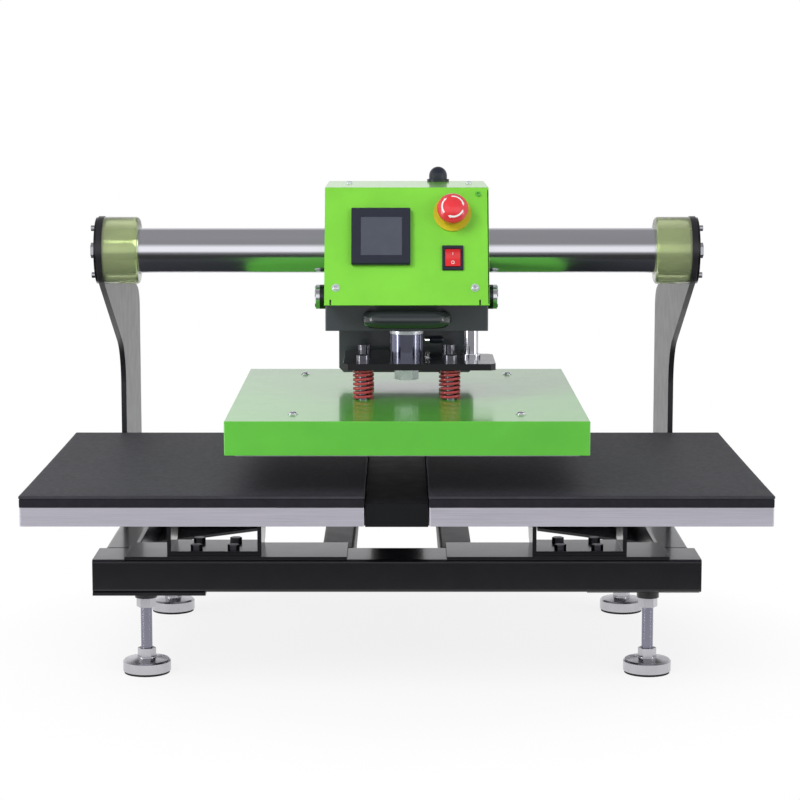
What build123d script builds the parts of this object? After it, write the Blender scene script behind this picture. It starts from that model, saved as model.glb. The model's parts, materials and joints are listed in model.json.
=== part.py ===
from build123d import *
from math import asin, atan2, cos, hypot, pi, sin, sqrt
import os

# Dual station heat press: two lower platens side by side and one pressing head
# that slides between them along a round cross tube.
# Millimetres. X runs across the stations, Y from front to back, Z up from the floor.
# Depths are counted back from the front edge of the lower platens.

# Stations
PLATEN_WIDTH = 400.0
PLATEN_DEPTH = 500.0
PLATEN_THICK = 22.0
STATION_GAP = 76.0
PLATEN_BOTTOM = 226.3
PAD_THICK = 14.2
PAD_OVERHANG = 1.0
PLATEN_EDGE_BREAK = 1.5

# Base frame of welded box section
FRAME_WIDTH = 754.0
FRAME_DEPTH = 520.0
FRAME_SETBACK = 172.0
RAIL_BOTTOM = 110.5
RAIL_HEIGHT = 41.0
CROSS_RAIL_DEPTH = 80.0
SIDE_RAIL_WIDTH = 40.0
CENTRE_RAIL_WIDTH = 40.5
CENTRE_RAIL_SPACING = 109.0
RAIL_WALL = 3.0
RAIL_CORNER = 4.0
MOUNT_PLATE_THICK = 4.0
MOUNT_PLATE_INNER = 62.0
MOUNT_PLATE_OUTER = 337.0
MOUNT_PLATE_DEPTH = 93.0

# Platen brackets
BRACKET_INNER = 168.0
BRACKET_WIDTH = 117.0
BRACKET_WALL = 5.0
BRACKET_SETBACK = 10.0
BRACKET_DEPTH = 130.0
BRACKET_FLANGE_DEPTH = 76.0
BRACKET_SLANT = 43.0
BRACKET_BOLT_SPACING = 46.0
BRACKET_BOLT_HEAD = 13.0
BRACKET_BOLT_HEAD_HEIGHT = 6.0

# Cover between the stations; its leg stands on the rear rail
COVER_FRONT = 4.0
COVER_RISE = 4.2
COVER_HEIGHT = 27.5
COVER_SEAT = 18.0
COVER_TOE = 30.0
COVER_SHEET = 2.0
COVER_SIDE_GAP = 0.3

# Levelling feet
FOOT_SIDE_INSET = 62.0
FOOT_FRONT_INSET = 40.0
FOOT_REAR_INSET = 129.0
FOOT_PLATE_THICK = 4.0
FRONT_FOOT_PLATE_WIDTH = 140.0
FRONT_FOOT_PLATE_SETBACKS = {-1: 0.0, 1: 18.0}
REAR_FOOT_PLATE_WIDTH = 172.0
REAR_FOOT_PLATE_DEPTH = 190.0
REAR_FOOT_PLATE_SLANT = 95.0
BOSS_DIA = 28.0
BOSS_HEIGHT = 10.0
STUD_DIA = 14.0
STUD_REACH = 20.0
STUD_GAP = 0.3
LOCK_NUT_FLATS = 21.0
LOCK_NUT_HEIGHT = 12.0
SOLE_DIA = 57.0
SOLE_THICK = 3.0
CUP_DIA = 60.0
CUP_WALL = 12.0
CUP_SHOULDER = 2.2
CUP_CROWN = 2.3
CUP_NECK_DIA = 24.0
CUP_NECK_HEIGHT = 1.5
STUD_NUT_FLATS = 20.0
STUD_NUT_HEIGHT = 10.5

# Side plates that carry the cross tube
SIDE_PLATE_THICK = 7.0
SIDE_PLATE_LEG = 184.0
SIDE_PLATE_DISC = 43.5
KNEE_DROP = 152.8
KNEE_RADIUS = 70.0
SHOULDER_DROP = 86.8
SHOULDER_RADIUS = 32.0
PLATE_BOLT_HEAD = 17.0
PLATE_BOLT_HEAD_HEIGHT = 6.4
PLATE_BOLT_INSETS = (32.0, 92.0, 152.0)

# Cross tube, its end fittings and the rod that stops the head turning
TUBE_DEPTH = 300.0
TUBE_RISE = 52.3
TUBE_DIA = 57.0
TUBE_WALL = 5.0
PLUG_LENGTH = 25.0
END_CAP_MARGIN = 1.5
END_CAP_THICK = 3.0
END_BOLT_HEAD = 17.0
END_BOLT_HEAD_HEIGHT = 8.0
BUMPER_DIA = 85.0
BUMPER_LENGTH = 44.0
BUMPER_EDGE = 3.0
ROD_SETBACK = 80.0
ROD_DROP = 5.3
ROD_DIA = 20.0

# Pressing head, placed by the distance of its centre from the middle of the machine
HEAD_REST_X = 12.0
HEAD_WIDTH = 198.0
BEAM_DEPTH = 183.0
BEAM_BEHIND_TUBE = 46.0
BEAM_HEIGHT = 35.8
BEAM_FLOOR = 8.0
BEAM_WALL = 6.0
BEAM_EDGE = 1.5
BOX_HEIGHT = 137.7
BOX_OVERHANG = 10.0
BOX_SHEET = 2.0
PANEL_AHEAD = 46.0
PANEL_LEAN = 56.0
PANEL_SHEET = 2.0
CUT_OUT_GAP = 0.3
TUBE_HOLE_DIA = 64.0
CHEEK_THICK = 6.0
CHEEK_REAR_GAP = 2.0
CHEEK_RISE = 45.2
CHEEK_CORNER = 18.0
SLEEVE_DIA = 72.0
SLEEVE_LENGTH = 40.0
BUSH_WALL = 4.0
RUNNING_GAP = 0.05
SEAT_GAP = 0.1
GUIDE_BLOCK_WIDTH = 120.0
GUIDE_BLOCK_DEPTH = 44.0
GUIDE_BLOCK_HEIGHT = 42.0
GUIDE_BLOCK_CORNER = 8.0
TIE_DROP = 6.7
TIE_DIA = 31.0
TIE_COLLAR_LENGTH = 11.0
TIE_CAP_LENGTH = 6.0
TIE_CAP_EDGE = 1.2
HANDLE_SPAN = 87.5
HANDLE_DIA = 21.0
HANDLE_RISE = 17.3
HANDLE_REACH = 38.0
HANDLE_BEND = 15.0
BACK_PLATE_WIDTH = 174.0
BACK_PLATE_DROP = 73.2
BACK_PLATE_THICK = 6.0

# Air cylinder in front of the cross tube, ram and guide rod
CYLINDER_TUBE_GAP = 1.5
CYLINDER_DIA = 48.0
CYLINDER_BORE = 40.0
CYLINDER_LENGTH = 104.0
CYLINDER_END = 14.0
NOSE_DIA = 32.0
PISTON_THICK = 14.0
PISTON_REST_GAP = 1.0
PISTON_ROD_DIA = 20.0
ROD_NUT_FLATS = 36.0
ROD_NUT_HEIGHT = 6.0
ROD_NUT_GAP = 0.3
COUPLER_DIA = 41.0
COUPLER_LENGTH = 35.1
COUPLER_THREAD = 20.0
COUPLER_EDGE = 1.2
SPRING_PLATE_THICK = 8.0
SPRING_PLATE_LEFT = 78.0
SPRING_PLATE_BEYOND_ROD = 28.4
SPRING_PLATE_DEPTH = 152.0
SPRING_PLATE_ARM = 110.0
SPRING_PLATE_CORNER = 6.0
PLATE_NUT_FLATS = 26.0
PLATE_NUT_HEIGHT = 20.0
PLATE_NUT_FLANGE = 34.0
PLATE_NUT_FLANGE_THICK = 3.0
GUIDE_ROD_DIA = 18.0
GUIDE_ROD_PROUD = 55.5
GUIDE_COLLAR_DIA = 24.0
GUIDE_COLLAR_HEIGHT = 4.0
GUIDE_BUSH_DIA = 24.0
GUIDE_BUSH_MARGIN = 0.4

# Springs and the bolts they stand round
SPRING_ROOM = 37.7
SPRING_SPACING_X = 107.5
SPRING_SPACING_Y = 116.0
SPRING_OUTER = 25.0
SPRING_WIRE_RADIAL = 4.4
SPRING_WIRE_AXIAL = 3.2
SPRING_TURNS = 7
SPRING_END_GAP = 0.3
SHOULDER_DIA = 12.0
SHOULDER_HEAD_DIA = 16.0
SHOULDER_HEAD_HEIGHT = 9.0
SHOULDER_GAP = 0.3

# Heat platen
PRESS_OPENING = 45.5
HEAT_COVER_WIDTH = 423.0
HEAT_COVER_DEPTH = 500.0
HEAT_COVER_HEIGHT = 39.8
HEAT_COVER_SHEET = 1.5
HEAT_COVER_EDGE = 2.0
HEAT_BLOCK_PROUD = 2.3
HEAT_BLOCK_SIDE_GAP = 10.0
HEAT_BLOCK_END_GAP = 8.5
HEAT_BLOCK_THICK = 22.0
INSULATION_GAP = 3.6

# Controls on the sloping front panel, placed from its centre: across, then up the slope
SCREEN_UNIT_AT = (-31.2, 10.6)
SCREEN_UNIT_SIZE = 71.0
SCREEN_UNIT_PROUD = 7.0
SCREEN_UNIT_RIM = 3.0
SCREEN_UNIT_BODY_DEPTH = 45.0
SCREEN_SIZE = (50.0, 48.6)
SCREEN_OFFSET = (0.6, 0.0)
SCREEN_RECESS = 1.2
SCREEN_GLASS_THICK = 0.8
SCREEN_UNIT_EDGE = 1.5
STOP_AT = (55.0, 41.0)
STOP_RING_DIA = 45.5
STOP_RING_THICK = 3.0
STOP_NECK_DIA = 30.0
STOP_BODY_DIA = 28.0
STOP_BODY_DEPTH = 48.0
STOP_HEAD_DIA = 37.5
STOP_HEAD_SEAT_DIA = 33.0
STOP_HEAD_HEIGHT = 19.5
STOP_HEAD_RIM = 9.0
DOME_BANDS = 6
STOP_HEAD_LIFT = 11.5
STOP_PIN_DIA = 8.0
STOP_PIN_LENGTH = 10.0
STOP_STEM_DIA = 16.0
STOP_STEM_LENGTH = 22.0
STOP_TRAVEL = 4.0
STOP_PUSH_GAP = 0.5
STOP_STEM_SPARE = 1.0
SWITCH_AT = (55.2, -15.5)
SWITCH_SIZE = (25.5, 31.0)
SWITCH_OPENING = (19.0, 23.0)
SWITCH_PROUD = 2.5
SWITCH_EDGE = 0.8
SWITCH_BODY_DEPTH = 24.0
SWITCH_BODY_WALL = 1.3
SWITCH_WELL_DEPTH = 17.0
ROCKER_GAP = 0.4
ROCKER_PROUD = 2.5
ROCKER_DISH = 2.2
ROCKER_TAPER = 0.8
ROCKER_TILT = 8.0
GLAND_ACROSS = 40.5
GLAND_INSET = 14.5
GLAND_FOOT_DIA = 28.0
GLAND_FOOT_HEIGHT = 3.0
GLAND_DIA = 23.0
GLAND_STRAIGHT = 8.0
GLAND_HEIGHT = 19.0

# Heights that follow, from the lower platens up to the top of the head
PLATEN_TOP = PLATEN_BOTTOM + PLATEN_THICK
PAD_TOP = PLATEN_TOP + PAD_THICK
HEAT_BLOCK_BOTTOM = PAD_TOP + PRESS_OPENING
HEAT_BLOCK_TOP = HEAT_BLOCK_BOTTOM + HEAT_BLOCK_THICK
HEAT_COVER_BOTTOM = HEAT_BLOCK_BOTTOM + HEAT_BLOCK_PROUD
HEAT_COVER_TOP = HEAT_COVER_BOTTOM + HEAT_COVER_HEIGHT
INSULATION_TOP = HEAT_COVER_TOP - HEAT_COVER_SHEET - INSULATION_GAP
SPRING_PLATE_BOTTOM = HEAT_COVER_TOP + SPRING_ROOM
SPRING_PLATE_TOP = SPRING_PLATE_BOTTOM + SPRING_PLATE_THICK
COUPLER_TOP = SPRING_PLATE_TOP + COUPLER_LENGTH
BEAM_BOTTOM = COUPLER_TOP + ROD_NUT_HEIGHT + ROD_NUT_GAP
BEAM_TOP = BEAM_BOTTOM + BEAM_HEIGHT
BOX_TOP = BEAM_TOP + BOX_HEIGHT
TUBE_HEIGHT = BEAM_TOP + TUBE_RISE
ROD_HEIGHT = TUBE_HEIGHT - ROD_DROP
TIE_HEIGHT = BEAM_TOP - TIE_DROP
HANDLE_HEIGHT = BEAM_BOTTOM + HANDLE_RISE
BACK_PLATE_BOTTOM = BEAM_BOTTOM - BACK_PLATE_DROP
CHEEK_TOP = TUBE_HEIGHT + CHEEK_RISE
GUIDE_ROD_TOP = BEAM_TOP + GUIDE_ROD_PROUD
SIDE_PLATE_KNEE = TUBE_HEIGHT - KNEE_DROP
SIDE_PLATE_SHOULDER = TUBE_HEIGHT - SHOULDER_DROP
COVER_TOP = PLATEN_TOP + COVER_RISE
COVER_BOTTOM = COVER_TOP - COVER_HEIGHT
RAIL_TOP = RAIL_BOTTOM + RAIL_HEIGHT
MOUNT_TOP = RAIL_TOP + MOUNT_PLATE_THICK
STUD_TOP = RAIL_BOTTOM + STUD_REACH

# Depths that follow
FRAME_REAR = FRAME_SETBACK + FRAME_DEPTH
RAM_DEPTH = TUBE_DEPTH - (TUBE_DIA + CYLINDER_DIA) / 2 - CYLINDER_TUBE_GAP
BEAM_REAR = TUBE_DEPTH + BEAM_BEHIND_TUBE
BEAM_FRONT = BEAM_REAR - BEAM_DEPTH
BOX_REAR = BEAM_REAR + BOX_OVERHANG
PANEL_FOOT = BEAM_FRONT - PANEL_AHEAD
PANEL_HEAD = PANEL_FOOT + PANEL_LEAN
HANDLE_DEPTH = BEAM_FRONT - HANDLE_REACH
CHEEK_REAR = BEAM_REAR - BEAM_WALL - CHEEK_REAR_GAP
CHEEK_FRONT = 2 * TUBE_DEPTH - CHEEK_REAR
ROD_DEPTH = TUBE_DEPTH + ROD_SETBACK
BRACKET_FRONT = FRAME_SETBACK + BRACKET_SETBACK
COVER_LEG = FRAME_REAR - CROSS_RAIL_DEPTH + COVER_SEAT
SIDE_PLATE_FRONT = FRAME_REAR - SIDE_PLATE_LEG
PLATE_BOLT_DEPTHS = [FRAME_REAR - inset for inset in PLATE_BOLT_INSETS]
FOOT_FRONT_DEPTH = FRAME_SETBACK + FOOT_FRONT_INSET
FOOT_REAR_DEPTH = FRAME_REAR - FOOT_REAR_INSET
REAR_FOOT_PLATE_FRONT = FRAME_REAR - REAR_FOOT_PLATE_DEPTH
COVER_OVERHANG = HEAT_COVER_DEPTH / 2 - RAM_DEPTH
TOTAL_DEPTH = COVER_OVERHANG + FRAME_REAR
FRONT_Y = COVER_OVERHANG - TOTAL_DEPTH / 2

# Widths that follow
STATION_X = (STATION_GAP + PLATEN_WIDTH) / 2
HALF_FRAME = FRAME_WIDTH / 2
PLATE_INNER = HALF_FRAME - SIDE_PLATE_THICK
FOOT_X = HALF_FRAME - FOOT_SIDE_INSET
REAR_FOOT_PLATE_INNER = PLATE_INNER - REAR_FOOT_PLATE_WIDTH
BRACKET_OUTER = BRACKET_INNER + BRACKET_WIDTH
HEAT_BLOCK_WIDTH = HEAT_COVER_WIDTH - 2 * (HEAT_COVER_SHEET + HEAT_BLOCK_SIDE_GAP)
HEAT_BLOCK_DEPTH = HEAT_COVER_DEPTH - 2 * (HEAT_COVER_SHEET + HEAT_BLOCK_END_GAP)
END_CAP_DIA = 2 * (SIDE_PLATE_DISC - END_CAP_MARGIN)
SLEEVE_BORE = TUBE_DIA + 2 * RUNNING_GAP + 2 * BUSH_WALL
CHEEK_OUTER = HEAD_WIDTH / 2 - BEAM_WALL
GUIDE_ROD_OFFSET = CHEEK_OUTER - GUIDE_BUSH_DIA / 2 - GUIDE_BUSH_MARGIN
SPRING_PLATE_RIGHT = GUIDE_ROD_OFFSET + SPRING_PLATE_BEYOND_ROD
SCREEN_UNIT_BODY = SCREEN_UNIT_SIZE - 2 * SCREEN_UNIT_RIM
STOP_NECK_HEIGHT = STOP_HEAD_LIFT - STOP_TRAVEL - STOP_PUSH_GAP
BOTH_SIDES = (-1, 1)


def back(depth):
    """Y of a plane this far behind the front edge of the lower platens."""
    return FRONT_Y + depth


def block(x, y, z):
    """Box between the low and high values given for each axis."""
    size = Box(x[1] - x[0], y[1] - y[0], z[1] - z[0])
    return Pos((x[0] + x[1]) / 2, (y[0] + y[1]) / 2, (z[0] + z[1]) / 2) * size


def bar(start, axis, diameter, length):
    """Round bar that runs from a point along an axis."""
    return extrude(Plane(origin=start, z_dir=axis) * Circle(diameter / 2), length)


def ring(start, axis, outer, inner, length):
    """Round sleeve that runs from a point along an axis."""
    section = Circle(outer / 2) - Circle(inner / 2)
    return extrude(Plane(origin=start, z_dir=axis) * section, length)


def hexagon(start, axis, flats, length, bore=0.0):
    """Six-sided nut or bolt head with an optional bore."""
    section = RegularPolygon(flats / 2, 6, major_radius=False)
    if bore:
        section = section - Circle(bore / 2)
    return extrude(Plane(origin=start, z_dir=axis) * section, length)


def box_tube(x, y, z, along):
    """Rounded box section, hollow through its length along one axis."""
    outer = block(x, y, z)
    outer = fillet(outer.edges().filter_by(along), RAIL_CORNER)
    inset = {Axis.X: (0, 1, 1), Axis.Y: (1, 0, 1)}[along]
    cavity = [
        (low + inset[i] * RAIL_WALL, high - inset[i] * RAIL_WALL)
        for i, (low, high) in enumerate((x, y, z))
    ]
    return outer - block(*cavity)


def capped_tube(x, y, z):
    """Box section along X with a plate welded over each end."""
    tube = box_tube(x, y, z, Axis.X)
    for low, high in ((x[0], x[0] + RAIL_WALL), (x[1] - RAIL_WALL, x[1])):
        inner_y = (y[0] + RAIL_WALL / 2, y[1] - RAIL_WALL / 2)
        inner_z = (z[0] + RAIL_WALL / 2, z[1] - RAIL_WALL / 2)
        tube += block((low, high), inner_y, inner_z)
    return tube


def foot_places():
    """Name, X and Y of each levelling foot."""
    for depth_name, depth in (("front", FOOT_FRONT_DEPTH), ("rear", FOOT_REAR_DEPTH)):
        for side_name, side in (("left", -1), ("right", 1)):
            yield f"{depth_name}_{side_name}", side * FOOT_X, back(depth)


def stud_hole(x, y):
    """Clearance hole for one foot stud from below the boss into the frame."""
    return bar((x, y, 0), (0, 0, 1), STUD_DIA + 2 * STUD_GAP, RAIL_TOP - RAIL_WALL)


def plate_bolt_places():
    """Y and Z of the bolts that hold a side plate to the frame."""
    return [(back(depth), RAIL_BOTTOM + RAIL_HEIGHT / 2) for depth in PLATE_BOLT_DEPTHS]


def front_rail():
    x = (-HALF_FRAME, HALF_FRAME)
    y = (back(FRAME_SETBACK), back(FRAME_SETBACK + CROSS_RAIL_DEPTH))
    rail = capped_tube(x, y, (RAIL_BOTTOM, RAIL_TOP))
    for name, foot_x, foot_y in foot_places():
        if name.startswith("front"):
            rail -= stud_hole(foot_x, foot_y)
    return rail


def rear_rail():
    x = (-PLATE_INNER, PLATE_INNER)
    y = (back(FRAME_REAR - CROSS_RAIL_DEPTH), back(FRAME_REAR))
    return capped_tube(x, y, (RAIL_BOTTOM, RAIL_TOP))


def lengthwise_rails(inner, outer):
    """One box section each side of the middle, from the front rail to the rear one."""
    y = (back(FRAME_SETBACK + CROSS_RAIL_DEPTH), back(FRAME_REAR - CROSS_RAIL_DEPTH))
    rail = box_tube((inner, outer), y, (RAIL_BOTTOM, RAIL_TOP), Axis.Y)
    return [mirror(rail, Plane.YZ), rail]


def side_rails():
    return lengthwise_rails(PLATE_INNER - SIDE_RAIL_WIDTH, PLATE_INNER)


def centre_rails():
    inner = CENTRE_RAIL_SPACING / 2
    return lengthwise_rails(inner, inner + CENTRE_RAIL_WIDTH)


def mounting_plates():
    y = (back(FRAME_SETBACK), back(FRAME_SETBACK + MOUNT_PLATE_DEPTH))
    plates = []
    for side in BOTH_SIDES:
        x = sorted((side * MOUNT_PLATE_INNER, side * MOUNT_PLATE_OUTER))
        plates.append(block(x, y, (RAIL_TOP, MOUNT_TOP)))
    return plates


def foot_plates():
    """Plates under the frame's corners, each with a round boss for the foot's stud."""
    low = RAIL_BOTTOM - FOOT_PLATE_THICK
    rear_outline = [
        (PLATE_INNER, back(REAR_FOOT_PLATE_FRONT)),
        (PLATE_INNER - SIDE_RAIL_WIDTH, back(REAR_FOOT_PLATE_FRONT)),
        (REAR_FOOT_PLATE_INNER, back(REAR_FOOT_PLATE_FRONT + REAR_FOOT_PLATE_SLANT)),
        (REAR_FOOT_PLATE_INNER, back(FRAME_REAR)),
        (PLATE_INNER, back(FRAME_REAR)),
    ]
    plates = []
    for name, foot_x, foot_y in foot_places():
        side = 1 if foot_x > 0 else -1
        if name.startswith("front"):
            setback = FRAME_SETBACK + FRONT_FOOT_PLATE_SETBACKS[side]
            x = sorted((side * (HALF_FRAME - FRONT_FOOT_PLATE_WIDTH), side * HALF_FRAME))
            y = (back(setback), back(FRAME_SETBACK + CROSS_RAIL_DEPTH))
            plate = block(x, y, (low, RAIL_BOTTOM))
        else:
            points = [(side * x, y) for x, y in rear_outline]
            face = make_face(Polyline(*points, close=True))
            plate = extrude(Pos(0, 0, low) * face, FOOT_PLATE_THICK, dir=(0, 0, 1))
        plate += bar((foot_x, foot_y, low - BOSS_HEIGHT), (0, 0, 1), BOSS_DIA, BOSS_HEIGHT)
        plates.append(plate - stud_hole(foot_x, foot_y))
    return plates


def foot_lock_nuts():
    height = RAIL_BOTTOM - FOOT_PLATE_THICK - BOSS_HEIGHT - LOCK_NUT_HEIGHT
    bore = STUD_DIA + 2 * STUD_GAP
    return [
        hexagon((x, y, height), (0, 0, 1), LOCK_NUT_FLATS, LOCK_NUT_HEIGHT, bore)
        for name, x, y in foot_places()
    ]


def foot(x, y):
    """Steel cup on its stud, with the hexagon that turns it."""
    cup_base = SOLE_THICK
    shoulder = cup_base + CUP_WALL
    crown = shoulder + CUP_SHOULDER
    cup_top = crown + CUP_CROWN + CUP_NECK_HEIGHT
    outline = Polyline(
        (0, cup_base),
        (CUP_DIA / 2, cup_base),
        (CUP_DIA / 2, shoulder),
        (CUP_DIA / 2 - CUP_SHOULDER, crown),
        (CUP_NECK_DIA / 2, crown + CUP_CROWN),
        (CUP_NECK_DIA / 2, cup_top),
        (0, cup_top),
        close=True,
    )
    cup = revolve(Plane.XZ * make_face(outline), Axis.Z)
    nut = hexagon((0, 0, cup_top), (0, 0, 1), STUD_NUT_FLATS, STUD_NUT_HEIGHT)
    stud_base = cup_top + STUD_NUT_HEIGHT
    stud = bar((0, 0, stud_base), (0, 0, 1), STUD_DIA, STUD_TOP - stud_base)
    return [Pos(x, y, 0) * cup, Pos(x, y, 0) * (nut + stud)]


def sole(x, y):
    return bar((x, y, 0), (0, 0, 1), SOLE_DIA, SOLE_THICK)


def tangent_point(point, centre, radius, turn):
    """Where a line from a point touches a circle; turn picks the left or right touch."""
    dx, dy = point[0] - centre[0], point[1] - centre[1]
    reach = hypot(dx, dy)
    angle = atan2(dy, dx) + turn * atan2(sqrt(reach**2 - radius**2), radius)
    return centre[0] + radius * cos(angle), centre[1] + radius * sin(angle)


def side_plate_face():
    """Outline of a side plate in depth and height: a leg whose neck swings forward to a disc."""
    centre = (back(TUBE_DEPTH), TUBE_HEIGHT)
    knee = (back(SIDE_PLATE_FRONT), SIDE_PLATE_KNEE)
    shoulder = (back(FRAME_REAR), SIDE_PLATE_SHOULDER)
    under = tangent_point(knee, centre, SIDE_PLATE_DISC, -1)
    over = tangent_point(shoulder, centre, SIDE_PLATE_DISC, 1)
    nose = (centre[0] - SIDE_PLATE_DISC, centre[1])
    foot_front = (knee[0], RAIL_BOTTOM)
    foot_rear = (shoulder[0], RAIL_BOTTOM)
    edges = [
        Line(foot_front, knee),
        Line(knee, under),
        ThreePointArc(under, nose, over),
        Line(over, shoulder),
        Line(shoulder, foot_rear),
        Line(foot_rear, foot_front),
    ]
    face = make_face(edges)
    rounded = fillet(corner_at(face, knee), KNEE_RADIUS)
    return fillet(corner_at(rounded, shoulder), SHOULDER_RADIUS)


def corner_at(face, point):
    """The vertex of a flat outline that lies nearest a point."""
    return face.vertices().sort_by_distance((point[0], point[1], 0))[0]


def side_plate(side):
    plane = Plane(origin=(0, 0, 0), x_dir=(0, 1, 0), z_dir=(1, 0, 0))
    inner, outer = side * PLATE_INNER, side * HALF_FRAME
    return extrude(plane.offset(min(inner, outer)) * side_plate_face(), SIDE_PLATE_THICK)


def guide_tube():
    start = (-PLATE_INNER, back(TUBE_DEPTH), TUBE_HEIGHT)
    return ring(start, (1, 0, 0), TUBE_DIA, TUBE_DIA - 2 * TUBE_WALL, 2 * PLATE_INNER)


def tube_ends(offset):
    """Side, and point on the tube's axis this far beyond the tube's end, for both ends."""
    y, z = back(TUBE_DEPTH), TUBE_HEIGHT
    return [(side, (side * (PLATE_INNER + offset), y, z)) for side in BOTH_SIDES]


def tube_end_plugs():
    bore = TUBE_DIA - 2 * TUBE_WALL
    return [bar(start, (-side, 0, 0), bore, PLUG_LENGTH) for side, start in tube_ends(0)]


def anti_turn_rod():
    return bar((-PLATE_INNER, back(ROD_DEPTH), ROD_HEIGHT), (1, 0, 0), ROD_DIA, 2 * PLATE_INNER)


def tube_end_caps():
    return [
        bar(start, (side, 0, 0), END_CAP_DIA, END_CAP_THICK)
        for side, start in tube_ends(SIDE_PLATE_THICK)
    ]


def tube_end_bolts():
    """Head of the bolt in the middle of each tube end."""
    return [
        hexagon(start, (side, 0, 0), END_BOLT_HEAD, END_BOLT_HEAD_HEIGHT)
        for side, start in tube_ends(SIDE_PLATE_THICK + END_CAP_THICK)
    ]


def bumpers():
    """Soft stops round both ends of the tube."""
    stops = []
    for side, start in tube_ends(0):
        bore = TUBE_DIA + 2 * SEAT_GAP
        stop = ring(start, (-side, 0, 0), BUMPER_DIA, bore, BUMPER_LENGTH)
        rims = stop.edges().filter_by(GeomType.CIRCLE).sort_by(SortBy.RADIUS)[-2:]
        rim = rims.sort_by(Axis.X)[0 if side > 0 else -1]
        stops.append(chamfer(rim, BUMPER_EDGE))
    return stops


def bracket_bolt_places(side):
    """X and Y of the four bolts that hold one platen bracket down."""
    middle_x = side * (BRACKET_INNER + BRACKET_OUTER) / 2
    middle_y = back(BRACKET_FRONT + BRACKET_FLANGE_DEPTH / 2)
    half = BRACKET_BOLT_SPACING / 2
    return [(middle_x + i * half, middle_y + j * half) for i in BOTH_SIDES for j in BOTH_SIDES]


def platen_brackets():
    """Two upright plates and a bolted foot plate under each lower platen."""
    pieces = []
    foot_top = MOUNT_TOP + BRACKET_WALL
    plate_y = (back(BRACKET_FRONT), back(BRACKET_FRONT + BRACKET_DEPTH))
    foot_y = (back(BRACKET_FRONT), back(BRACKET_FRONT + BRACKET_FLANGE_DEPTH))
    for side in BOTH_SIDES:
        foot_x = sorted((side * BRACKET_INNER, side * BRACKET_OUTER))
        pieces.append(block(foot_x, foot_y, (MOUNT_TOP, foot_top)))
        for inner in (BRACKET_INNER, BRACKET_OUTER - BRACKET_WALL):
            x = sorted((side * inner, side * (inner + BRACKET_WALL)))
            plate = block(x, plate_y, (foot_top, PLATEN_BOTTOM))
            rear_foot = plate.edges().filter_by(Axis.X).group_by(Axis.Z)[0].sort_by(Axis.Y)[-1]
            pieces.append(chamfer(rear_foot, BRACKET_SLANT))
    return pieces


def frame_bolts():
    """Heads of the bolts of the platen brackets and of the side plates."""
    bolts = []
    for side in BOTH_SIDES:
        for x, y in bracket_bolt_places(side):
            seat = (x, y, MOUNT_TOP + BRACKET_WALL)
            bolts.append(hexagon(seat, (0, 0, 1), BRACKET_BOLT_HEAD, BRACKET_BOLT_HEAD_HEIGHT))
        for y, z in plate_bolt_places():
            seat = (side * HALF_FRAME, y, z)
            bolts.append(hexagon(seat, (side, 0, 0), PLATE_BOLT_HEAD, PLATE_BOLT_HEAD_HEIGHT))
    return bolts


def lower_platens():
    plates = []
    for side in BOTH_SIDES:
        x = (side * STATION_X - PLATEN_WIDTH / 2, side * STATION_X + PLATEN_WIDTH / 2)
        plate = block(x, (back(0), back(PLATEN_DEPTH)), (PLATEN_BOTTOM, PLATEN_TOP))
        plates.append(chamfer(plate.edges().filter_by(Axis.Z), PLATEN_EDGE_BREAK))
    return plates


def platen_pads():
    """Soft pads, each a skin sheet over a thicker foam sheet, slightly wider than the platen."""
    pads = []
    for side in BOTH_SIDES:
        half = PLATEN_WIDTH / 2 + PAD_OVERHANG
        x = (side * STATION_X - half, side * STATION_X + half)
        y = (back(-PAD_OVERHANG), back(PLATEN_DEPTH + PAD_OVERHANG))
        pad = block(x, y, (PLATEN_TOP, PLATEN_TOP + PAD_THICK))
        pads.append(fillet(pad.edges().filter_by(Axis.Z), PLATEN_EDGE_BREAK))
    return pads


def centre_cover():
    """Folded sheet that closes the gap between the stations and stands on the rear rail."""
    half = STATION_GAP / 2 - PAD_OVERHANG - COVER_SIDE_GAP
    x = (-half, half)
    y = (back(COVER_FRONT), back(COVER_LEG))
    cover = block(x, y, (COVER_BOTTOM, COVER_TOP))
    inner_x = (-half + COVER_SHEET, half - COVER_SHEET)
    inner_y = (back(COVER_FRONT + COVER_SHEET), back(COVER_LEG))
    cover -= block(inner_x, inner_y, (COVER_BOTTOM, COVER_TOP - COVER_SHEET))
    leg_y = (back(COVER_LEG), back(COVER_LEG + COVER_SHEET))
    cover += block(x, leg_y, (RAIL_TOP, COVER_TOP))
    toe_y = (back(COVER_LEG), back(COVER_LEG + COVER_TOE))
    cover += block(x, toe_y, (RAIL_TOP, RAIL_TOP + COVER_SHEET))
    return cover


def panel_plane():
    """Plane on the front panel's face: X across, Y up the slope, Z out of the panel."""
    low = Vector(0, back(PANEL_FOOT), BEAM_TOP)
    high = Vector(0, back(PANEL_HEAD), BOX_TOP)
    slope = high - low
    normal = Vector(0, -slope.Z, slope.Y)
    return Plane(origin=(low + high) / 2, x_dir=(1, 0, 0), z_dir=normal)


def panel_length():
    return hypot(PANEL_HEAD - PANEL_FOOT, BOX_TOP - BEAM_TOP)


def on_panel(sketch, place=(0, 0), height=0.0):
    """Put a flat shape on the panel, this far across, up and out of it."""
    return panel_plane() * Pos(place[0], place[1], height) * sketch


def box_profile(inset):
    """Side view of the control box behind its front panel; an inset one runs out forwards."""
    front = PANEL_SHEET / cos(atan2(PANEL_HEAD - PANEL_FOOT, BOX_TOP - BEAM_TOP)) - 2 * inset
    points = [
        (back(PANEL_FOOT) + front, BEAM_TOP),
        (back(PANEL_HEAD) + front, BOX_TOP - inset),
        (back(BOX_REAR - inset), BOX_TOP - inset),
        (back(BOX_REAR - inset), BEAM_TOP),
    ]
    return make_face(Polyline(*points, close=True))


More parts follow.
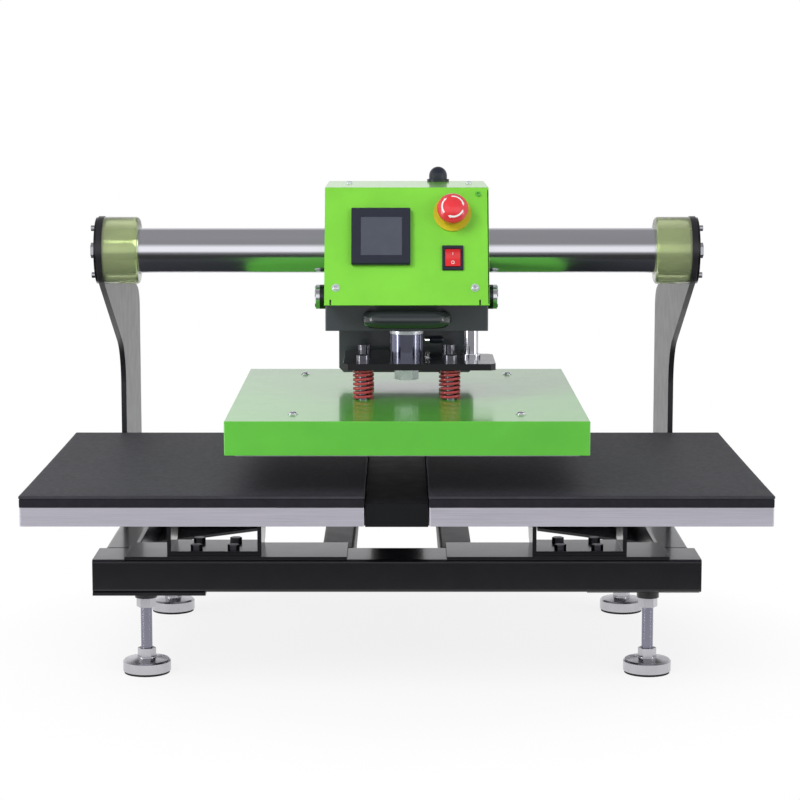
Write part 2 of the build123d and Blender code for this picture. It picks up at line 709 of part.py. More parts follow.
def box_shell():
    """Sheet cover of the head: top, back and two sides, open below and at the front."""
    plane = Plane(origin=(-HEAD_WIDTH / 2, 0, 0), x_dir=(0, 1, 0), z_dir=(1, 0, 0))
    shell = extrude(plane * box_profile(0), HEAD_WIDTH)
    inner = plane.offset(BOX_SHEET)
    shell -= extrude(inner * box_profile(BOX_SHEET), HEAD_WIDTH - 2 * BOX_SHEET)
    tube = (-HEAD_WIDTH / 2, back(TUBE_DEPTH), TUBE_HEIGHT)
    return shell - bar(tube, (1, 0, 0), TUBE_HOLE_DIA, HEAD_WIDTH)


def front_panel():
    """Sloping panel with cut-outs for the screen unit, the stop button and the switch."""
    face = Rectangle(HEAD_WIDTH, panel_length())
    screen_hole = SCREEN_UNIT_BODY + 2 * CUT_OUT_GAP
    face -= Pos(*SCREEN_UNIT_AT) * Rectangle(screen_hole, screen_hole)
    face -= Pos(*STOP_AT) * Circle(STOP_BODY_DIA / 2 + SEAT_GAP)
    face -= Pos(*SWITCH_AT) * switch_body(CUT_OUT_GAP)
    return extrude(on_panel(face), -PANEL_SHEET)


def head_beam():
    """Open-topped trough that the cylinder, the cheeks and the box stand in and on."""
    half = HEAD_WIDTH / 2
    beam = block((-half, half), (back(BEAM_FRONT), back(BEAM_REAR)), (BEAM_BOTTOM, BEAM_TOP))
    beam = chamfer(beam.edges().filter_by(Axis.Z), BEAM_EDGE)
    inner = half - BEAM_WALL
    cavity_y = (back(BEAM_FRONT + BEAM_WALL), back(BEAM_REAR - BEAM_WALL))
    beam -= block((-inner, inner), cavity_y, (BEAM_BOTTOM + BEAM_FLOOR, BEAM_TOP))
    nose = (0, back(RAM_DEPTH), BEAM_BOTTOM)
    beam -= bar(nose, (0, 0, 1), NOSE_DIA + 2 * SEAT_GAP, BEAM_FLOOR)
    bush = (GUIDE_ROD_OFFSET, back(RAM_DEPTH), BEAM_BOTTOM)
    return beam - bar(bush, (0, 0, 1), GUIDE_BUSH_DIA + 2 * SEAT_GAP, BEAM_FLOOR)


def bearing_housings():
    """Cheek plates on the beam's floor, each with a round sleeve for a tube bush."""
    housings = []
    low = BEAM_BOTTOM + BEAM_FLOOR
    y, z = back(TUBE_DEPTH), TUBE_HEIGHT
    for side in BOTH_SIDES:
        x = sorted((side * (CHEEK_OUTER - CHEEK_THICK), side * CHEEK_OUTER))
        cheek = block(x, (back(CHEEK_FRONT), back(CHEEK_REAR)), (low, CHEEK_TOP))
        cheek = chamfer(cheek.edges().filter_by(Axis.X).group_by(Axis.Z)[-1], CHEEK_CORNER)
        cheek += bar((side * CHEEK_OUTER, y, z), (-side, 0, 0), SLEEVE_DIA, SLEEVE_LENGTH)
        cheek -= bar((side * CHEEK_OUTER, y, z), (-side, 0, 0), SLEEVE_BORE, SLEEVE_LENGTH)
        housings.append(cheek)
    return housings


def guide_bushes():
    """Bronze bushes: two on the tube and one on the guide rod."""
    bushes = []
    for side in BOTH_SIDES:
        start = (side * CHEEK_OUTER, back(TUBE_DEPTH), TUBE_HEIGHT)
        bore = TUBE_DIA + 2 * RUNNING_GAP
        bushes.append(ring(start, (-side, 0, 0), SLEEVE_BORE, bore, SLEEVE_LENGTH))
    start = (GUIDE_ROD_OFFSET, back(RAM_DEPTH), BEAM_BOTTOM)
    bore = GUIDE_ROD_DIA + 2 * RUNNING_GAP
    bushes.append(ring(start, (0, 0, 1), GUIDE_BUSH_DIA, bore, BEAM_TOP - BEAM_BOTTOM))
    return bushes


def rod_guide_block():
    """Block on the back of the head that runs on the rod behind the tube."""
    half = GUIDE_BLOCK_WIDTH / 2
    y = (back(BOX_REAR), back(BOX_REAR + GUIDE_BLOCK_DEPTH))
    z = (ROD_HEIGHT - GUIDE_BLOCK_HEIGHT / 2, ROD_HEIGHT + GUIDE_BLOCK_HEIGHT / 2)
    piece = block((-half, half), y, z)
    piece = chamfer(piece.edges().filter_by(Axis.X).group_by(Axis.Y)[-1], GUIDE_BLOCK_CORNER)
    start = (-half, back(ROD_DEPTH), ROD_HEIGHT)
    return piece - bar(start, (1, 0, 0), ROD_DIA + 2 * RUNNING_GAP, GUIDE_BLOCK_WIDTH)


def tie_end(side, offset, length):
    """Round piece of the tie bolt's end, this far outside one side of the head."""
    start = (side * (HEAD_WIDTH / 2 + offset), back(TUBE_DEPTH), TIE_HEIGHT)
    return bar(start, (side, 0, 0), TIE_DIA, length)


def tie_collars():
    return [tie_end(side, 0, TIE_COLLAR_LENGTH) for side in BOTH_SIDES]


def tie_caps():
    """Bright caps of the tie bolt, on the collars."""
    caps = []
    for side in BOTH_SIDES:
        cap = tie_end(side, TIE_COLLAR_LENGTH, TIE_CAP_LENGTH)
        rim = cap.edges().filter_by(GeomType.CIRCLE).sort_by(Axis.X)[-1 if side > 0 else 0]
        caps.append(chamfer(rim, TIE_CAP_EDGE))
    return caps


def handle():
    """Bent round bar on the front of the beam."""
    half = HANDLE_SPAN / 2
    near, far = back(BEAM_FRONT), back(HANDLE_DEPTH)
    corners = [(-half, near), (-half, far), (half, far), (half, near)]
    path = Pos(0, 0, HANDLE_HEIGHT) * FilletPolyline(*corners, radius=HANDLE_BEND)
    section = Plane(origin=(-half, near, HANDLE_HEIGHT), z_dir=(0, -1, 0)) * Circle(HANDLE_DIA / 2)
    return sweep(section, path)


def back_plate():
    half = BACK_PLATE_WIDTH / 2
    y = (back(BEAM_REAR), back(BEAM_REAR + BACK_PLATE_THICK))
    plate = block((-half, half), y, (BACK_PLATE_BOTTOM, BEAM_TOP - BOX_SHEET))
    return chamfer(plate.edges().filter_by(Axis.Y).group_by(Axis.Z)[0], BACK_PLATE_THICK)


def air_cylinder():
    """Round cylinder with closed ends; its nose passes through the beam's floor."""
    centre = (0, back(RAM_DEPTH))
    low = BEAM_BOTTOM + BEAM_FLOOR
    barrel = bar((*centre, low), (0, 0, 1), CYLINDER_DIA, CYLINDER_LENGTH)
    hollow = CYLINDER_LENGTH - 2 * CYLINDER_END
    barrel -= bar((*centre, low + CYLINDER_END), (0, 0, 1), CYLINDER_BORE, hollow)
    barrel += bar((*centre, BEAM_BOTTOM), (0, 0, 1), NOSE_DIA, BEAM_FLOOR)
    bore = PISTON_ROD_DIA + 2 * RUNNING_GAP
    return barrel - bar((*centre, BEAM_BOTTOM), (0, 0, 1), bore, BEAM_FLOOR + CYLINDER_END)


def piston_rod():
    centre = (0, back(RAM_DEPTH))
    chamber_top = BEAM_BOTTOM + BEAM_FLOOR + CYLINDER_LENGTH - CYLINDER_END
    piston_low = chamber_top - PISTON_REST_GAP - PISTON_THICK
    piston = bar((*centre, piston_low), (0, 0, 1), CYLINDER_BORE - 2 * RUNNING_GAP, PISTON_THICK)
    rod_low = COUPLER_TOP - COUPLER_THREAD
    return piston + bar((*centre, rod_low), (0, 0, 1), PISTON_ROD_DIA, piston_low - rod_low)


def rod_nut():
    start = (0, back(RAM_DEPTH), COUPLER_TOP)
    return hexagon(start, (0, 0, 1), ROD_NUT_FLATS, ROD_NUT_HEIGHT, PISTON_ROD_DIA + 2 * SEAT_GAP)


def ram_coupler():
    """Bright round coupler between the piston rod and the spring plate."""
    centre = (0, back(RAM_DEPTH))
    coupler = bar((*centre, SPRING_PLATE_TOP), (0, 0, 1), COUPLER_DIA, COUPLER_LENGTH)
    rim = coupler.edges().filter_by(GeomType.CIRCLE).sort_by(Axis.Z)[-1]
    coupler = chamfer(rim, COUPLER_EDGE)
    thread = bar((*centre, COUPLER_TOP), (0, 0, -1), PISTON_ROD_DIA + 2 * SEAT_GAP, COUPLER_THREAD)
    return coupler - thread


def plate_nut():
    """Flanged nut under the spring plate, on the screw that comes down from the coupler."""
    at = (0, back(RAM_DEPTH))
    flange = bar((*at, SPRING_PLATE_BOTTOM), (0, 0, -1), PLATE_NUT_FLANGE, PLATE_NUT_FLANGE_THICK)
    return flange + hexagon((*at, SPRING_PLATE_BOTTOM), (0, 0, -1), PLATE_NUT_FLATS, PLATE_NUT_HEIGHT)


def spring_places():
    """X and Y of the four springs, from the head's centre."""
    half_x, half_y = SPRING_SPACING_X / 2, SPRING_SPACING_Y / 2
    return [(i * half_x, back(RAM_DEPTH) + j * half_y) for i in BOTH_SIDES for j in BOTH_SIDES]


def spring_plate():
    """Plate that the ram pushes on the springs, with an arm for the guide rod."""
    half_y = SPRING_PLATE_DEPTH / 2
    middle = back(RAM_DEPTH)
    z = (SPRING_PLATE_BOTTOM, SPRING_PLATE_TOP)
    body_right = SPRING_PLATE_LEFT
    plate = block((-SPRING_PLATE_LEFT, body_right), (middle - half_y, middle + half_y), z)
    arm_y = (middle - half_y, middle - half_y + SPRING_PLATE_ARM)
    plate += block((0, SPRING_PLATE_RIGHT), arm_y, z)
    plate = chamfer(plate.edges().filter_by(Axis.Z), SPRING_PLATE_CORNER)
    for x, y in spring_places():
        plate -= bar((x, y, z[0]), (0, 0, 1), SHOULDER_DIA + 2 * SHOULDER_GAP, SPRING_PLATE_THICK)
    return plate


def guide_rod():
    """Rod with a collar, fixed to the spring plate and running in the beam."""
    at = (GUIDE_ROD_OFFSET, back(RAM_DEPTH))
    rod = bar((*at, SPRING_PLATE_TOP), (0, 0, 1), GUIDE_ROD_DIA, GUIDE_ROD_TOP - SPRING_PLATE_TOP)
    return rod + bar((*at, SPRING_PLATE_TOP), (0, 0, 1), GUIDE_COLLAR_DIA, GUIDE_COLLAR_HEIGHT)


def helix_frame(radius, pitch, angle, z):
    """Point and unit tangent on a rising helix."""
    point = Vector(radius * cos(angle), radius * sin(angle), z + pitch * angle / (2 * pi))
    tangent = Vector(-radius * sin(angle), radius * cos(angle), pitch / (2 * pi))
    return point, tangent.normalized()


def biarc(start, start_tangent, end, end_tangent):
    """Two arcs that leave one point and reach another along the given tangents."""
    chord = end - start
    total = start_tangent + end_tangent
    a = 2 * (1 - start_tangent.dot(end_tangent))
    b = 2 * chord.dot(total)
    reach = (-b + sqrt(b * b + 4 * a * chord.dot(chord))) / (2 * a)
    joint = (start + end + (start_tangent - end_tangent) * reach) / 2
    first = TangentArc(start, joint, tangent=start_tangent)
    second = TangentArc(joint, end, tangent=first % 1)
    return [first, second]


def spring_size():
    """Radius of the wire's centre line, its rise per turn and the height it starts at."""
    radius = (SPRING_OUTER - SPRING_WIRE_RADIAL) / 2
    free = SPRING_ROOM - 2 * SPRING_END_GAP
    pitch = (free - SPRING_WIRE_AXIAL) / SPRING_TURNS
    return radius, pitch, HEAT_COVER_TOP + SPRING_END_GAP + SPRING_WIRE_AXIAL / 2


def spring(x, y):
    """Coil of flat wire, swept in one piece along quarter turns."""
    radius, pitch, low = spring_size()
    quarters = 4 * SPRING_TURNS
    stations = [helix_frame(radius, pitch, i * pi / 2, low) for i in range(quarters + 1)]
    edges = []
    for (start, leave), (end, reach) in zip(stations, stations[1:]):
        edges += biarc(start, leave, end, reach)
    path = Wire(edges)
    plane = Plane(origin=stations[0][0], x_dir=(1, 0, 0), z_dir=stations[0][1])
    section = plane * Rectangle(SPRING_WIRE_RADIAL, SPRING_WIRE_AXIAL)
    axis = Line((0, 0, low), (0, 0, low + SPRING_TURNS * pitch))
    return Pos(x, y, 0) * sweep(section, path, binormal=axis)


def springs():
    radius, pitch, low = spring_size()
    print("springs: least gap between turns", round(pitch - SPRING_WIRE_AXIAL, 2), "mm")
    return [spring(x, y) for x, y in spring_places()]


def shoulder_bolts():
    """Bolts that hang the heat platen from the spring plate and guide the springs."""
    bolts = []
    for x, y in spring_places():
        length = SPRING_PLATE_TOP - HEAT_BLOCK_TOP
        bolt = bar((x, y, HEAT_BLOCK_TOP), (0, 0, 1), SHOULDER_DIA, length)
        head = bar((x, y, SPRING_PLATE_TOP), (0, 0, 1), SHOULDER_HEAD_DIA, SHOULDER_HEAD_HEIGHT)
        bolts.append(bolt + head)
    return bolts


def heat_block():
    half_x, half_y = HEAT_BLOCK_WIDTH / 2, HEAT_BLOCK_DEPTH / 2
    middle = back(RAM_DEPTH)
    y = (middle - half_y, middle + half_y)
    plate = block((-half_x, half_x), y, (HEAT_BLOCK_BOTTOM, HEAT_BLOCK_TOP))
    return chamfer(plate.edges().filter_by(Axis.Z), HEAT_COVER_EDGE)


def insulation():
    half_x, half_y = HEAT_BLOCK_WIDTH / 2, HEAT_BLOCK_DEPTH / 2
    middle = back(RAM_DEPTH)
    y = (middle - half_y, middle + half_y)
    blanket = block((-half_x, half_x), y, (HEAT_BLOCK_TOP, INSULATION_TOP))
    return drilled(blanket, HEAT_BLOCK_TOP, INSULATION_TOP - HEAT_BLOCK_TOP)


def drilled(piece, low, thick):
    """Clearance holes for the four shoulder bolts through a layer of the heat platen."""
    for x, y in spring_places():
        piece -= bar((x, y, low), (0, 0, 1), SHOULDER_DIA + 2 * SEAT_GAP, thick)
    return piece


def heat_cover():
    """Painted pan over the insulation, open below."""
    middle = back(RAM_DEPTH)
    half_x, half_y = HEAT_COVER_WIDTH / 2, HEAT_COVER_DEPTH / 2
    z = (HEAT_COVER_BOTTOM, HEAT_COVER_TOP)
    cover = block((-half_x, half_x), (middle - half_y, middle + half_y), z)
    cover = fillet(cover.edges().filter_by(Axis.Z), HEAT_COVER_EDGE)
    cover = chamfer(cover.edges().group_by(Axis.Z)[-1], HEAT_COVER_EDGE / 2)
    in_x, in_y = half_x - HEAT_COVER_SHEET, half_y - HEAT_COVER_SHEET
    cavity_z = (HEAT_COVER_BOTTOM, HEAT_COVER_TOP - HEAT_COVER_SHEET)
    cover -= block((-in_x, in_x), (middle - in_y, middle + in_y), cavity_z)
    return drilled(cover, HEAT_COVER_TOP - HEAT_COVER_SHEET, HEAT_COVER_SHEET)


def screen_unit():
    """Square unit with a raised frame round its sunk screen and a body behind the panel."""
    size = Rectangle(SCREEN_UNIT_SIZE, SCREEN_UNIT_SIZE)
    bezel = extrude(on_panel(size, SCREEN_UNIT_AT), SCREEN_UNIT_PROUD)
    front = bezel.faces().sort_by(Axis.Y)[0]
    bezel = chamfer(front.edges(), SCREEN_UNIT_EDGE)
    body = Rectangle(SCREEN_UNIT_BODY, SCREEN_UNIT_BODY)
    bezel += extrude(on_panel(body, SCREEN_UNIT_AT), -SCREEN_UNIT_BODY_DEPTH)
    window = on_panel(Rectangle(*SCREEN_SIZE), screen_place(), SCREEN_UNIT_PROUD)
    return bezel - extrude(window, -SCREEN_RECESS)


def screen_place():
    return SCREEN_UNIT_AT[0] + SCREEN_OFFSET[0], SCREEN_UNIT_AT[1] + SCREEN_OFFSET[1]


def screen_glass():
    height = SCREEN_UNIT_PROUD - SCREEN_RECESS
    width, length = SCREEN_SIZE
    glass = Rectangle(width - 2 * SEAT_GAP, length - 2 * SEAT_GAP)
    return extrude(on_panel(glass, screen_place(), height), SCREEN_GLASS_THICK)


def stop_base():
    """Ring, neck and contact body of the stop button, bored for the stem."""
    bore = STOP_STEM_DIA / 2 + RUNNING_GAP
    ring_face = Circle(STOP_RING_DIA / 2) - Circle(bore)
    base = extrude(on_panel(ring_face, STOP_AT), STOP_RING_THICK)
    neck_face = Circle(STOP_NECK_DIA / 2) - Circle(bore)
    base += extrude(on_panel(neck_face, STOP_AT), STOP_NECK_HEIGHT)
    body = extrude(on_panel(Circle(STOP_BODY_DIA / 2), STOP_AT), -STOP_BODY_DEPTH)
    stem_room = STOP_STEM_LENGTH + STOP_TRAVEL + STOP_STEM_SPARE
    return base + body - extrude(on_panel(Circle(bore), STOP_AT), -stem_room)


def stop_stem():
    """Round stem that is pushed in, with a pin that the head turns on."""
    stem = on_panel(Circle(STOP_STEM_DIA / 2), STOP_AT, STOP_HEAD_LIFT)
    stem = extrude(stem, -(STOP_STEM_LENGTH + STOP_HEAD_LIFT))
    pin = on_panel(Circle(STOP_PIN_DIA / 2), STOP_AT, STOP_HEAD_LIFT)
    return stem + extrude(pin, STOP_PIN_LENGTH)


def dome_line(edge, top):
    """Straight bands that follow an arc from a rim point up to the axis."""
    radius = (edge[0] ** 2 + (top - edge[1]) ** 2) / (2 * (top - edge[1]))
    angles = [asin(edge[0] / radius) * i / DOME_BANDS for i in range(DOME_BANDS, -1, -1)]
    return Polyline(*[(radius * sin(a), top - radius * (1 - cos(a))) for a in angles])


def stop_head():
    """Mushroom head: a domed disc with an undercut rim, bored for the stem's pin."""
    radius = STOP_HEAD_DIA / 2
    rim = (radius, STOP_HEAD_RIM)
    outline = [
        Line((0, 0), (STOP_HEAD_SEAT_DIA / 2, 0)),
        Line((STOP_HEAD_SEAT_DIA / 2, 0), rim),
        dome_line(rim, STOP_HEAD_HEIGHT),
        Line((0, STOP_HEAD_HEIGHT), (0, 0)),
    ]
    head = revolve(Plane.XZ * make_face(outline), Axis.Z)
    bore = STOP_PIN_DIA + 2 * RUNNING_GAP
    head -= bar((0, 0, 0), (0, 0, 1), bore, STOP_PIN_LENGTH + RUNNING_GAP)
    return on_panel(head, STOP_AT, STOP_HEAD_LIFT + RUNNING_GAP)


def switch_body(gap=0.0):
    """Outline of the switch behind the panel, wider all round by a gap."""
    width, height = SWITCH_OPENING
    margin = 2 * (SWITCH_BODY_WALL + gap)
    return Rectangle(width + margin, height + margin)


def switch_frame():
    """Frame and body of the power switch, with a well for the rocker."""
    frame = extrude(on_panel(Rectangle(*SWITCH_SIZE), SWITCH_AT), SWITCH_PROUD)
    frame = chamfer(frame.faces().sort_by(Axis.Y)[0].edges(), SWITCH_EDGE)
    frame += extrude(on_panel(switch_body(), SWITCH_AT), -SWITCH_BODY_DEPTH)
    well = on_panel(Rectangle(*SWITCH_OPENING), SWITCH_AT, SWITCH_PROUD)
    return frame - extrude(well, -(SWITCH_PROUD + SWITCH_WELL_DEPTH))


def rocker():
    """Rocker with a dished top, round below so that it turns in its well."""
    width = SWITCH_OPENING[0] - 2 * ROCKER_GAP
    radius = SWITCH_OPENING[1] / 2 - ROCKER_GAP
    top = radius - ROCKER_TAPER
    rise = SWITCH_PROUD + ROCKER_PROUD
    outline = [
        ThreePointArc((-radius, 0), (0, -radius), (radius, 0)),
        Line((radius, 0), (top, rise)),
        ThreePointArc((top, rise), (0, rise - ROCKER_DISH), (-top, rise)),
        Line((-top, rise), (-radius, 0)),
    ]
    profile = Plane(origin=(-width / 2, 0, 0), x_dir=(0, 1, 0), z_dir=(1, 0, 0))
    piece = extrude(profile * make_face(outline), width)
    return on_panel(Rot(ROCKER_TILT, 0, 0) * piece, SWITCH_AT)


def cable_gland():
    """Domed gland on a wider foot, on top of the box near its back."""
    radius = GLAND_DIA / 2
    outline = Polyline(
        (0, 0),
        (GLAND_FOOT_DIA / 2, 0),
        (GLAND_FOOT_DIA / 2, GLAND_FOOT_HEIGHT),
        (radius, GLAND_FOOT_HEIGHT),
        (radius, GLAND_STRAIGHT),
    )
    dome = dome_line((radius, GLAND_STRAIGHT), GLAND_HEIGHT)
    face = make_face([outline, dome, Line((0, GLAND_HEIGHT), (0, 0))])
    gland = revolve(Plane.XZ * face, Axis.Z)
    return Pos(GLAND_ACROSS, back(BOX_REAR - GLAND_INSET), BOX_TOP) * gland


def on_head(pieces):
    """Move pieces of the head to where it stands at rest."""
    return [Pos(HEAD_REST_X, 0, 0) * piece for piece in as_list(pieces)]


def as_list(pieces):
    return pieces if isinstance(pieces, list) else [pieces]


FRAME_NODES = {
    "front_rail": front_rail,
    "rear_rail": rear_rail,
    "side_rails": side_rails,
    "centre_rails": centre_rails,
    "mounting_plates": mounting_plates,
    "foot_plates": foot_plates,
    "foot_lock_nuts": foot_lock_nuts,
    "guide_tube": guide_tube,
    "tube_end_plugs": tube_end_plugs,
    "anti_turn_rod": anti_turn_rod,
    "tube_end_caps": tube_end_caps,
    "tube_end_bolts": tube_end_bolts,
    "bumpers": bumpers,
    "platen_brackets": platen_brackets,
    "frame_bolts": frame_bolts,
    "lower_platens": lower_platens,
    "platen_pads": platen_pads,
    "centre_cover": centre_cover,
}

HEAD_NODES = {
    "head_beam": head_beam,
    "box_shell": box_shell,
    "front_panel": front_panel,
    "bearing_housings": bearing_housings,
    "guide_bushes": guide_bushes,
    "rod_guide_block": rod_guide_block,
    "tie_collars": tie_collars,
    "tie_caps": tie_caps,
    "handle": handle,
    "back_plate": back_plate,
    "air_cylinder": air_cylinder,
    "screen_unit": screen_unit,
    "screen_glass": screen_glass,
    "stop_base": stop_base,
    "switch_frame": switch_frame,
    "cable_gland": cable_gland,
    "piston_rod": piston_rod,
    "rod_nut": rod_nut,
    "ram_coupler": ram_coupler,
    "plate_nut": plate_nut,
    "spring_plate": spring_plate,
    "guide_rod": guide_rod,
    "springs": springs,
    "shoulder_bolts": shoulder_bolts,
    "heat_block": heat_block,
    "insulation": insulation,
    "heat_cover": heat_cover,
    "stop_stem": stop_stem,
    "stop_head": stop_head,
    "rocker": rocker,
}


def build():
    """Every node of the press by name, as a list of solids."""
    nodes = {name: as_list(make()) for name, make in FRAME_NODES.items()}
    nodes["left_side_plate"] = [side_plate(-1)]
    nodes["right_side_plate"] = [side_plate(1)]
    for name, x, y in foot_places():
        nodes[f"{name}_foot"] = foot(x, y)
        nodes[f"{name}_sole"] = [sole(x, y)]
    for name, make in HEAD_NODES.items():
        nodes[name] = on_head(make())
    return nodes


os.makedirs("parts", exist_ok=True)
for node, pieces in build().items():
    shape = pieces[0] if len(pieces) == 1 else Compound(children=pieces)
    export_step(shape, f"parts/{node}.step")
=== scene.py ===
import json
import math

import bpy
from mathutils import Matrix, Vector

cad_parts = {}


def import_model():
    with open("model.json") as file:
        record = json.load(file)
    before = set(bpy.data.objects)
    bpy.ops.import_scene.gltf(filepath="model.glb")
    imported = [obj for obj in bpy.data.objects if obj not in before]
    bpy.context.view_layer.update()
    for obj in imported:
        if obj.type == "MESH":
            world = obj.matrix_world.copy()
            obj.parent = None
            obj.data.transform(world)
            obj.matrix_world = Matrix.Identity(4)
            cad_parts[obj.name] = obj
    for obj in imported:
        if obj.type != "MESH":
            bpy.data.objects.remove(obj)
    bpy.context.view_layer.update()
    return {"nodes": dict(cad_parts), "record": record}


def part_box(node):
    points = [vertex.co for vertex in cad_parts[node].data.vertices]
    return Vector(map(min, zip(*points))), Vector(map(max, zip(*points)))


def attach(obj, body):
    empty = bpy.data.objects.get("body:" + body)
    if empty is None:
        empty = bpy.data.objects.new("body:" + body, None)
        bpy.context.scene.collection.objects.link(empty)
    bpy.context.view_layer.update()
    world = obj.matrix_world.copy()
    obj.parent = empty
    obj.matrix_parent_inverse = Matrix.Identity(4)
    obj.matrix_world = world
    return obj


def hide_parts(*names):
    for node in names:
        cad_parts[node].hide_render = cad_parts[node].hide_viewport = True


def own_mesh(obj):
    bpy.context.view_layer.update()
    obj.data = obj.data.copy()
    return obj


# Dual station heat press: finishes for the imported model, and the small pieces that dress it.
# Metres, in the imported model's frame. Sizes named here are in millimetres times MM.
MM = 0.001

# Camera, placed from the front edge of the lower platens
CAMERA_X = 3.8 * MM
CAMERA_DISTANCE = 2729.8 * MM
CAMERA_HEIGHT = 745.1 * MM
CAMERA_PITCH = math.radians(7.73)
CAMERA_LENS = 107.57

# Sloping panel and the controls on it, placed from its centre: across, then up the slope
PANEL_SETBACK = 56.0 * MM
STOP_AT = (55.0 * MM, 41.0 * MM)
STOP_HEAD_DIA = 37.5 * MM
STOP_HEAD_SEAT_DIA = 33.0 * MM
STOP_HEAD_HEIGHT = 19.5 * MM
STOP_HEAD_RIM = 9.0 * MM
STOP_HEAD_LIFT = 11.55 * MM
SWITCH_AT = (55.2 * MM, -15.5 * MM)
ROCKER_TILT = math.radians(8.0)
ROCKER_RISE = 5.0 * MM
ROCKER_HALF = 10.3 * MM
ROCKER_DISH = 2.2 * MM
PANEL_SCREW_LOW = (83.4 * MM, -52.5 * MM)
PANEL_SCREW_SHIFT = -1.8 * MM
PANEL_SCREW_HIGH = (86.4 * MM, 66.0 * MM)

# Marks on the controls
ARROW_START = math.radians(97)
ARROW_SWEEP = -math.radians(94)
ARROW_RADIUS = 12.9 * MM
ARROW_WIDTH = 1.8 * MM
ARROW_LIFT = 0.12 * MM
ARROW_SINK = 0.3 * MM
ARROW_HEAD_FROM = 0.82
STROKE_HALF_WIDTH = 0.3 * MM
STROKE_STEPS = (3.8 * MM, 4.8 * MM, 5.8 * MM, 6.8 * MM)
RING_AT = -5.4 * MM
RING_RADII = (1.5 * MM, 2.0 * MM)
MARK_LIFT = 0.15 * MM

# Slits in the panel, and a dark strip of painted shade along its right edge for the box's shaded side:
# distance from a side, width
SLIT_LEFT = (7.4 * MM, 1.9 * MM)
SLIT_RIGHT = (11.4 * MM, 1.9 * MM)
SLIT_SPAN = (0.1 * MM, 7.0 * MM)
SHADE_STRIP_RIGHT = (1.0 * MM, 1.1 * MM)
SHADE_STRIP_ENDS = (2.0 * MM, 3.0 * MM)

# Fasteners: diameter and height of a head, or outer and inner diameter and thickness of a washer
PANEL_SCREW = (8.0 * MM, 3.2 * MM)
PANEL_WASHER = (10 * MM, 5 * MM, 0.7 * MM)
CORNER_SCREW = (7.0 * MM, 2.2 * MM)
BOX_SCREW = (8 * MM, 2.6 * MM)
BOX_SCREW_ACROSS = (-72 * MM, 78 * MM)
BOX_SCREW_DEPTH = 0.72
COVER_SCREW = (9 * MM, 3 * MM)
COVER_WASHER = (12 * MM, 5 * MM, 0.8 * MM)
COVER_SCREW_INSET = (77 * MM, 60 * MM)
END_SCREW = (7.5 * MM, 5 * MM)
END_SCREW_INSET = 5.5 * MM
END_SCREW_SPREAD = math.radians(36)
END_WASHER = (24 * MM, 12 * MM, 1.2 * MM)

# Hose fitting, placed from the middle of the back plate's lower edge
FITTING_ACROSS = 30 * MM
FITTING_UP = 43 * MM
FITTING_STANDOFF = 7 * MM
FITTING_STEM_ALONG = 10 * MM
FITTING_COLLARS = 4
FITTING_COLLAR_START = 6.2 * MM
FITTING_COLLAR_PITCH = 1.55 * MM

# Soft pads: a foam sheet under a thinner skin sheet
SKIN_THICK = 4.0 * MM
SKIN_OVERHANG = 0.6 * MM
SKIN_CORNER = 2.6 * MM
FOAM_CORNER = 2 * MM
PAD_CLEARANCE = 0.3 * MM
PAD_EDGE = 1.2 * MM
PAD_CROWN = 0.5 * MM
PAD_WAIST = 0.6 * MM

# Springs
SPRING_TURNS = 7
SPRING_OUTER = 25.0 * MM
SPRING_WIRE = (4.4 * MM, 3.2 * MM)
SPRING_WIRE_CORNER = 0.8 * MM
SPRING_END_GAP = 0.3 * MM
SPRING_END_TURNS = 0.75
SPRING_END_PITCH = 0.85

# Bumpers on the tube
BUMPER_LENGTH = 44.0 * MM
BUMPER_CLEARANCE = 0.1 * MM
BUMPER_ROUND = 4.0 * MM
BUMPER_LIP = 1.5 * MM

# Bright collar at the top of the ram's coupler
COLLAR_PROUD = 0.5 * MM
COLLAR_HEIGHT = 6.5 * MM
COLLAR_EDGE = 1.2 * MM
COLLAR_WALL = 3 * MM

# Levelling feet
STUD_DIA = 14.0 * MM
STUD_NUT_TOP = 31.5 * MM
STUD_IN_NUT = 16 * MM
FEET = ("front_left_foot", "front_right_foot", "rear_left_foot", "rear_right_foot")
THREAD_PITCH = 2.0 * MM
THREAD_DEPTH = 0.4 * MM
THREAD_PROUD = 0.15 * MM

# What gloss sees of the studio: height of the direction, grey level there
SEEN_AHEAD = ((-0.34, 0.035), (-0.12, 0.24), (-0.03, 1.0), (0.34, 1.0), (0.6, 0.27), (1.0, 0.3))
SEEN_LEFT_REAR = ((-0.04, 0.6), (0.0, 1.0), (0.3, 0.95), (0.75, 0.3), (1.0, 0.3))
SEEN_RIGHT_REAR = ((-0.04, 0.4), (0.0, 0.8), (0.3, 0.75), (0.75, 0.3), (1.0, 0.3))
SEEN_BESIDE = ((-0.6, 0.05), (-0.4, 0.8), (0.5, 0.9), (0.8, 0.3), (1.0, 0.3))

# Floor, and lamps aimed at the press: place, target, size, power, seen in gloss
FLOOR_HALF_WIDTH = 6.0
FLOOR_FRONT = -0.61
FLOOR_BACK = 9.0
FLOOR_WHITE = (0.84, 1.0)
FLOOR_WHITE_REACH = (0.36, 0.6)
LAMPS = {
    "key": ((-1.6, -2.2, 2.4), (0, 0, 0.35), (1.4, 1.4), 56, False),
    "fill": ((1.8, -2.4, 1.2), (0, 0, 0.35), (1.8, 1.8), 20, False),
    "left_edge": ((-1.9, -0.9, 0.5), (0, -0.15, 0.45), (0.3, 0.9), 7, True),
    "right_edge": ((1.9, -0.9, 0.5), (0, -0.15, 0.45), (0.2, 0.9), 4, True),
}

X_AXIS = Vector((1, 0, 0))
Y_AXIS = Vector((0, 1, 0))
Z_AXIS = Vector((0, 0, 1))
BOTH_SIDES = (-1, 1)


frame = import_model()


# Finishes

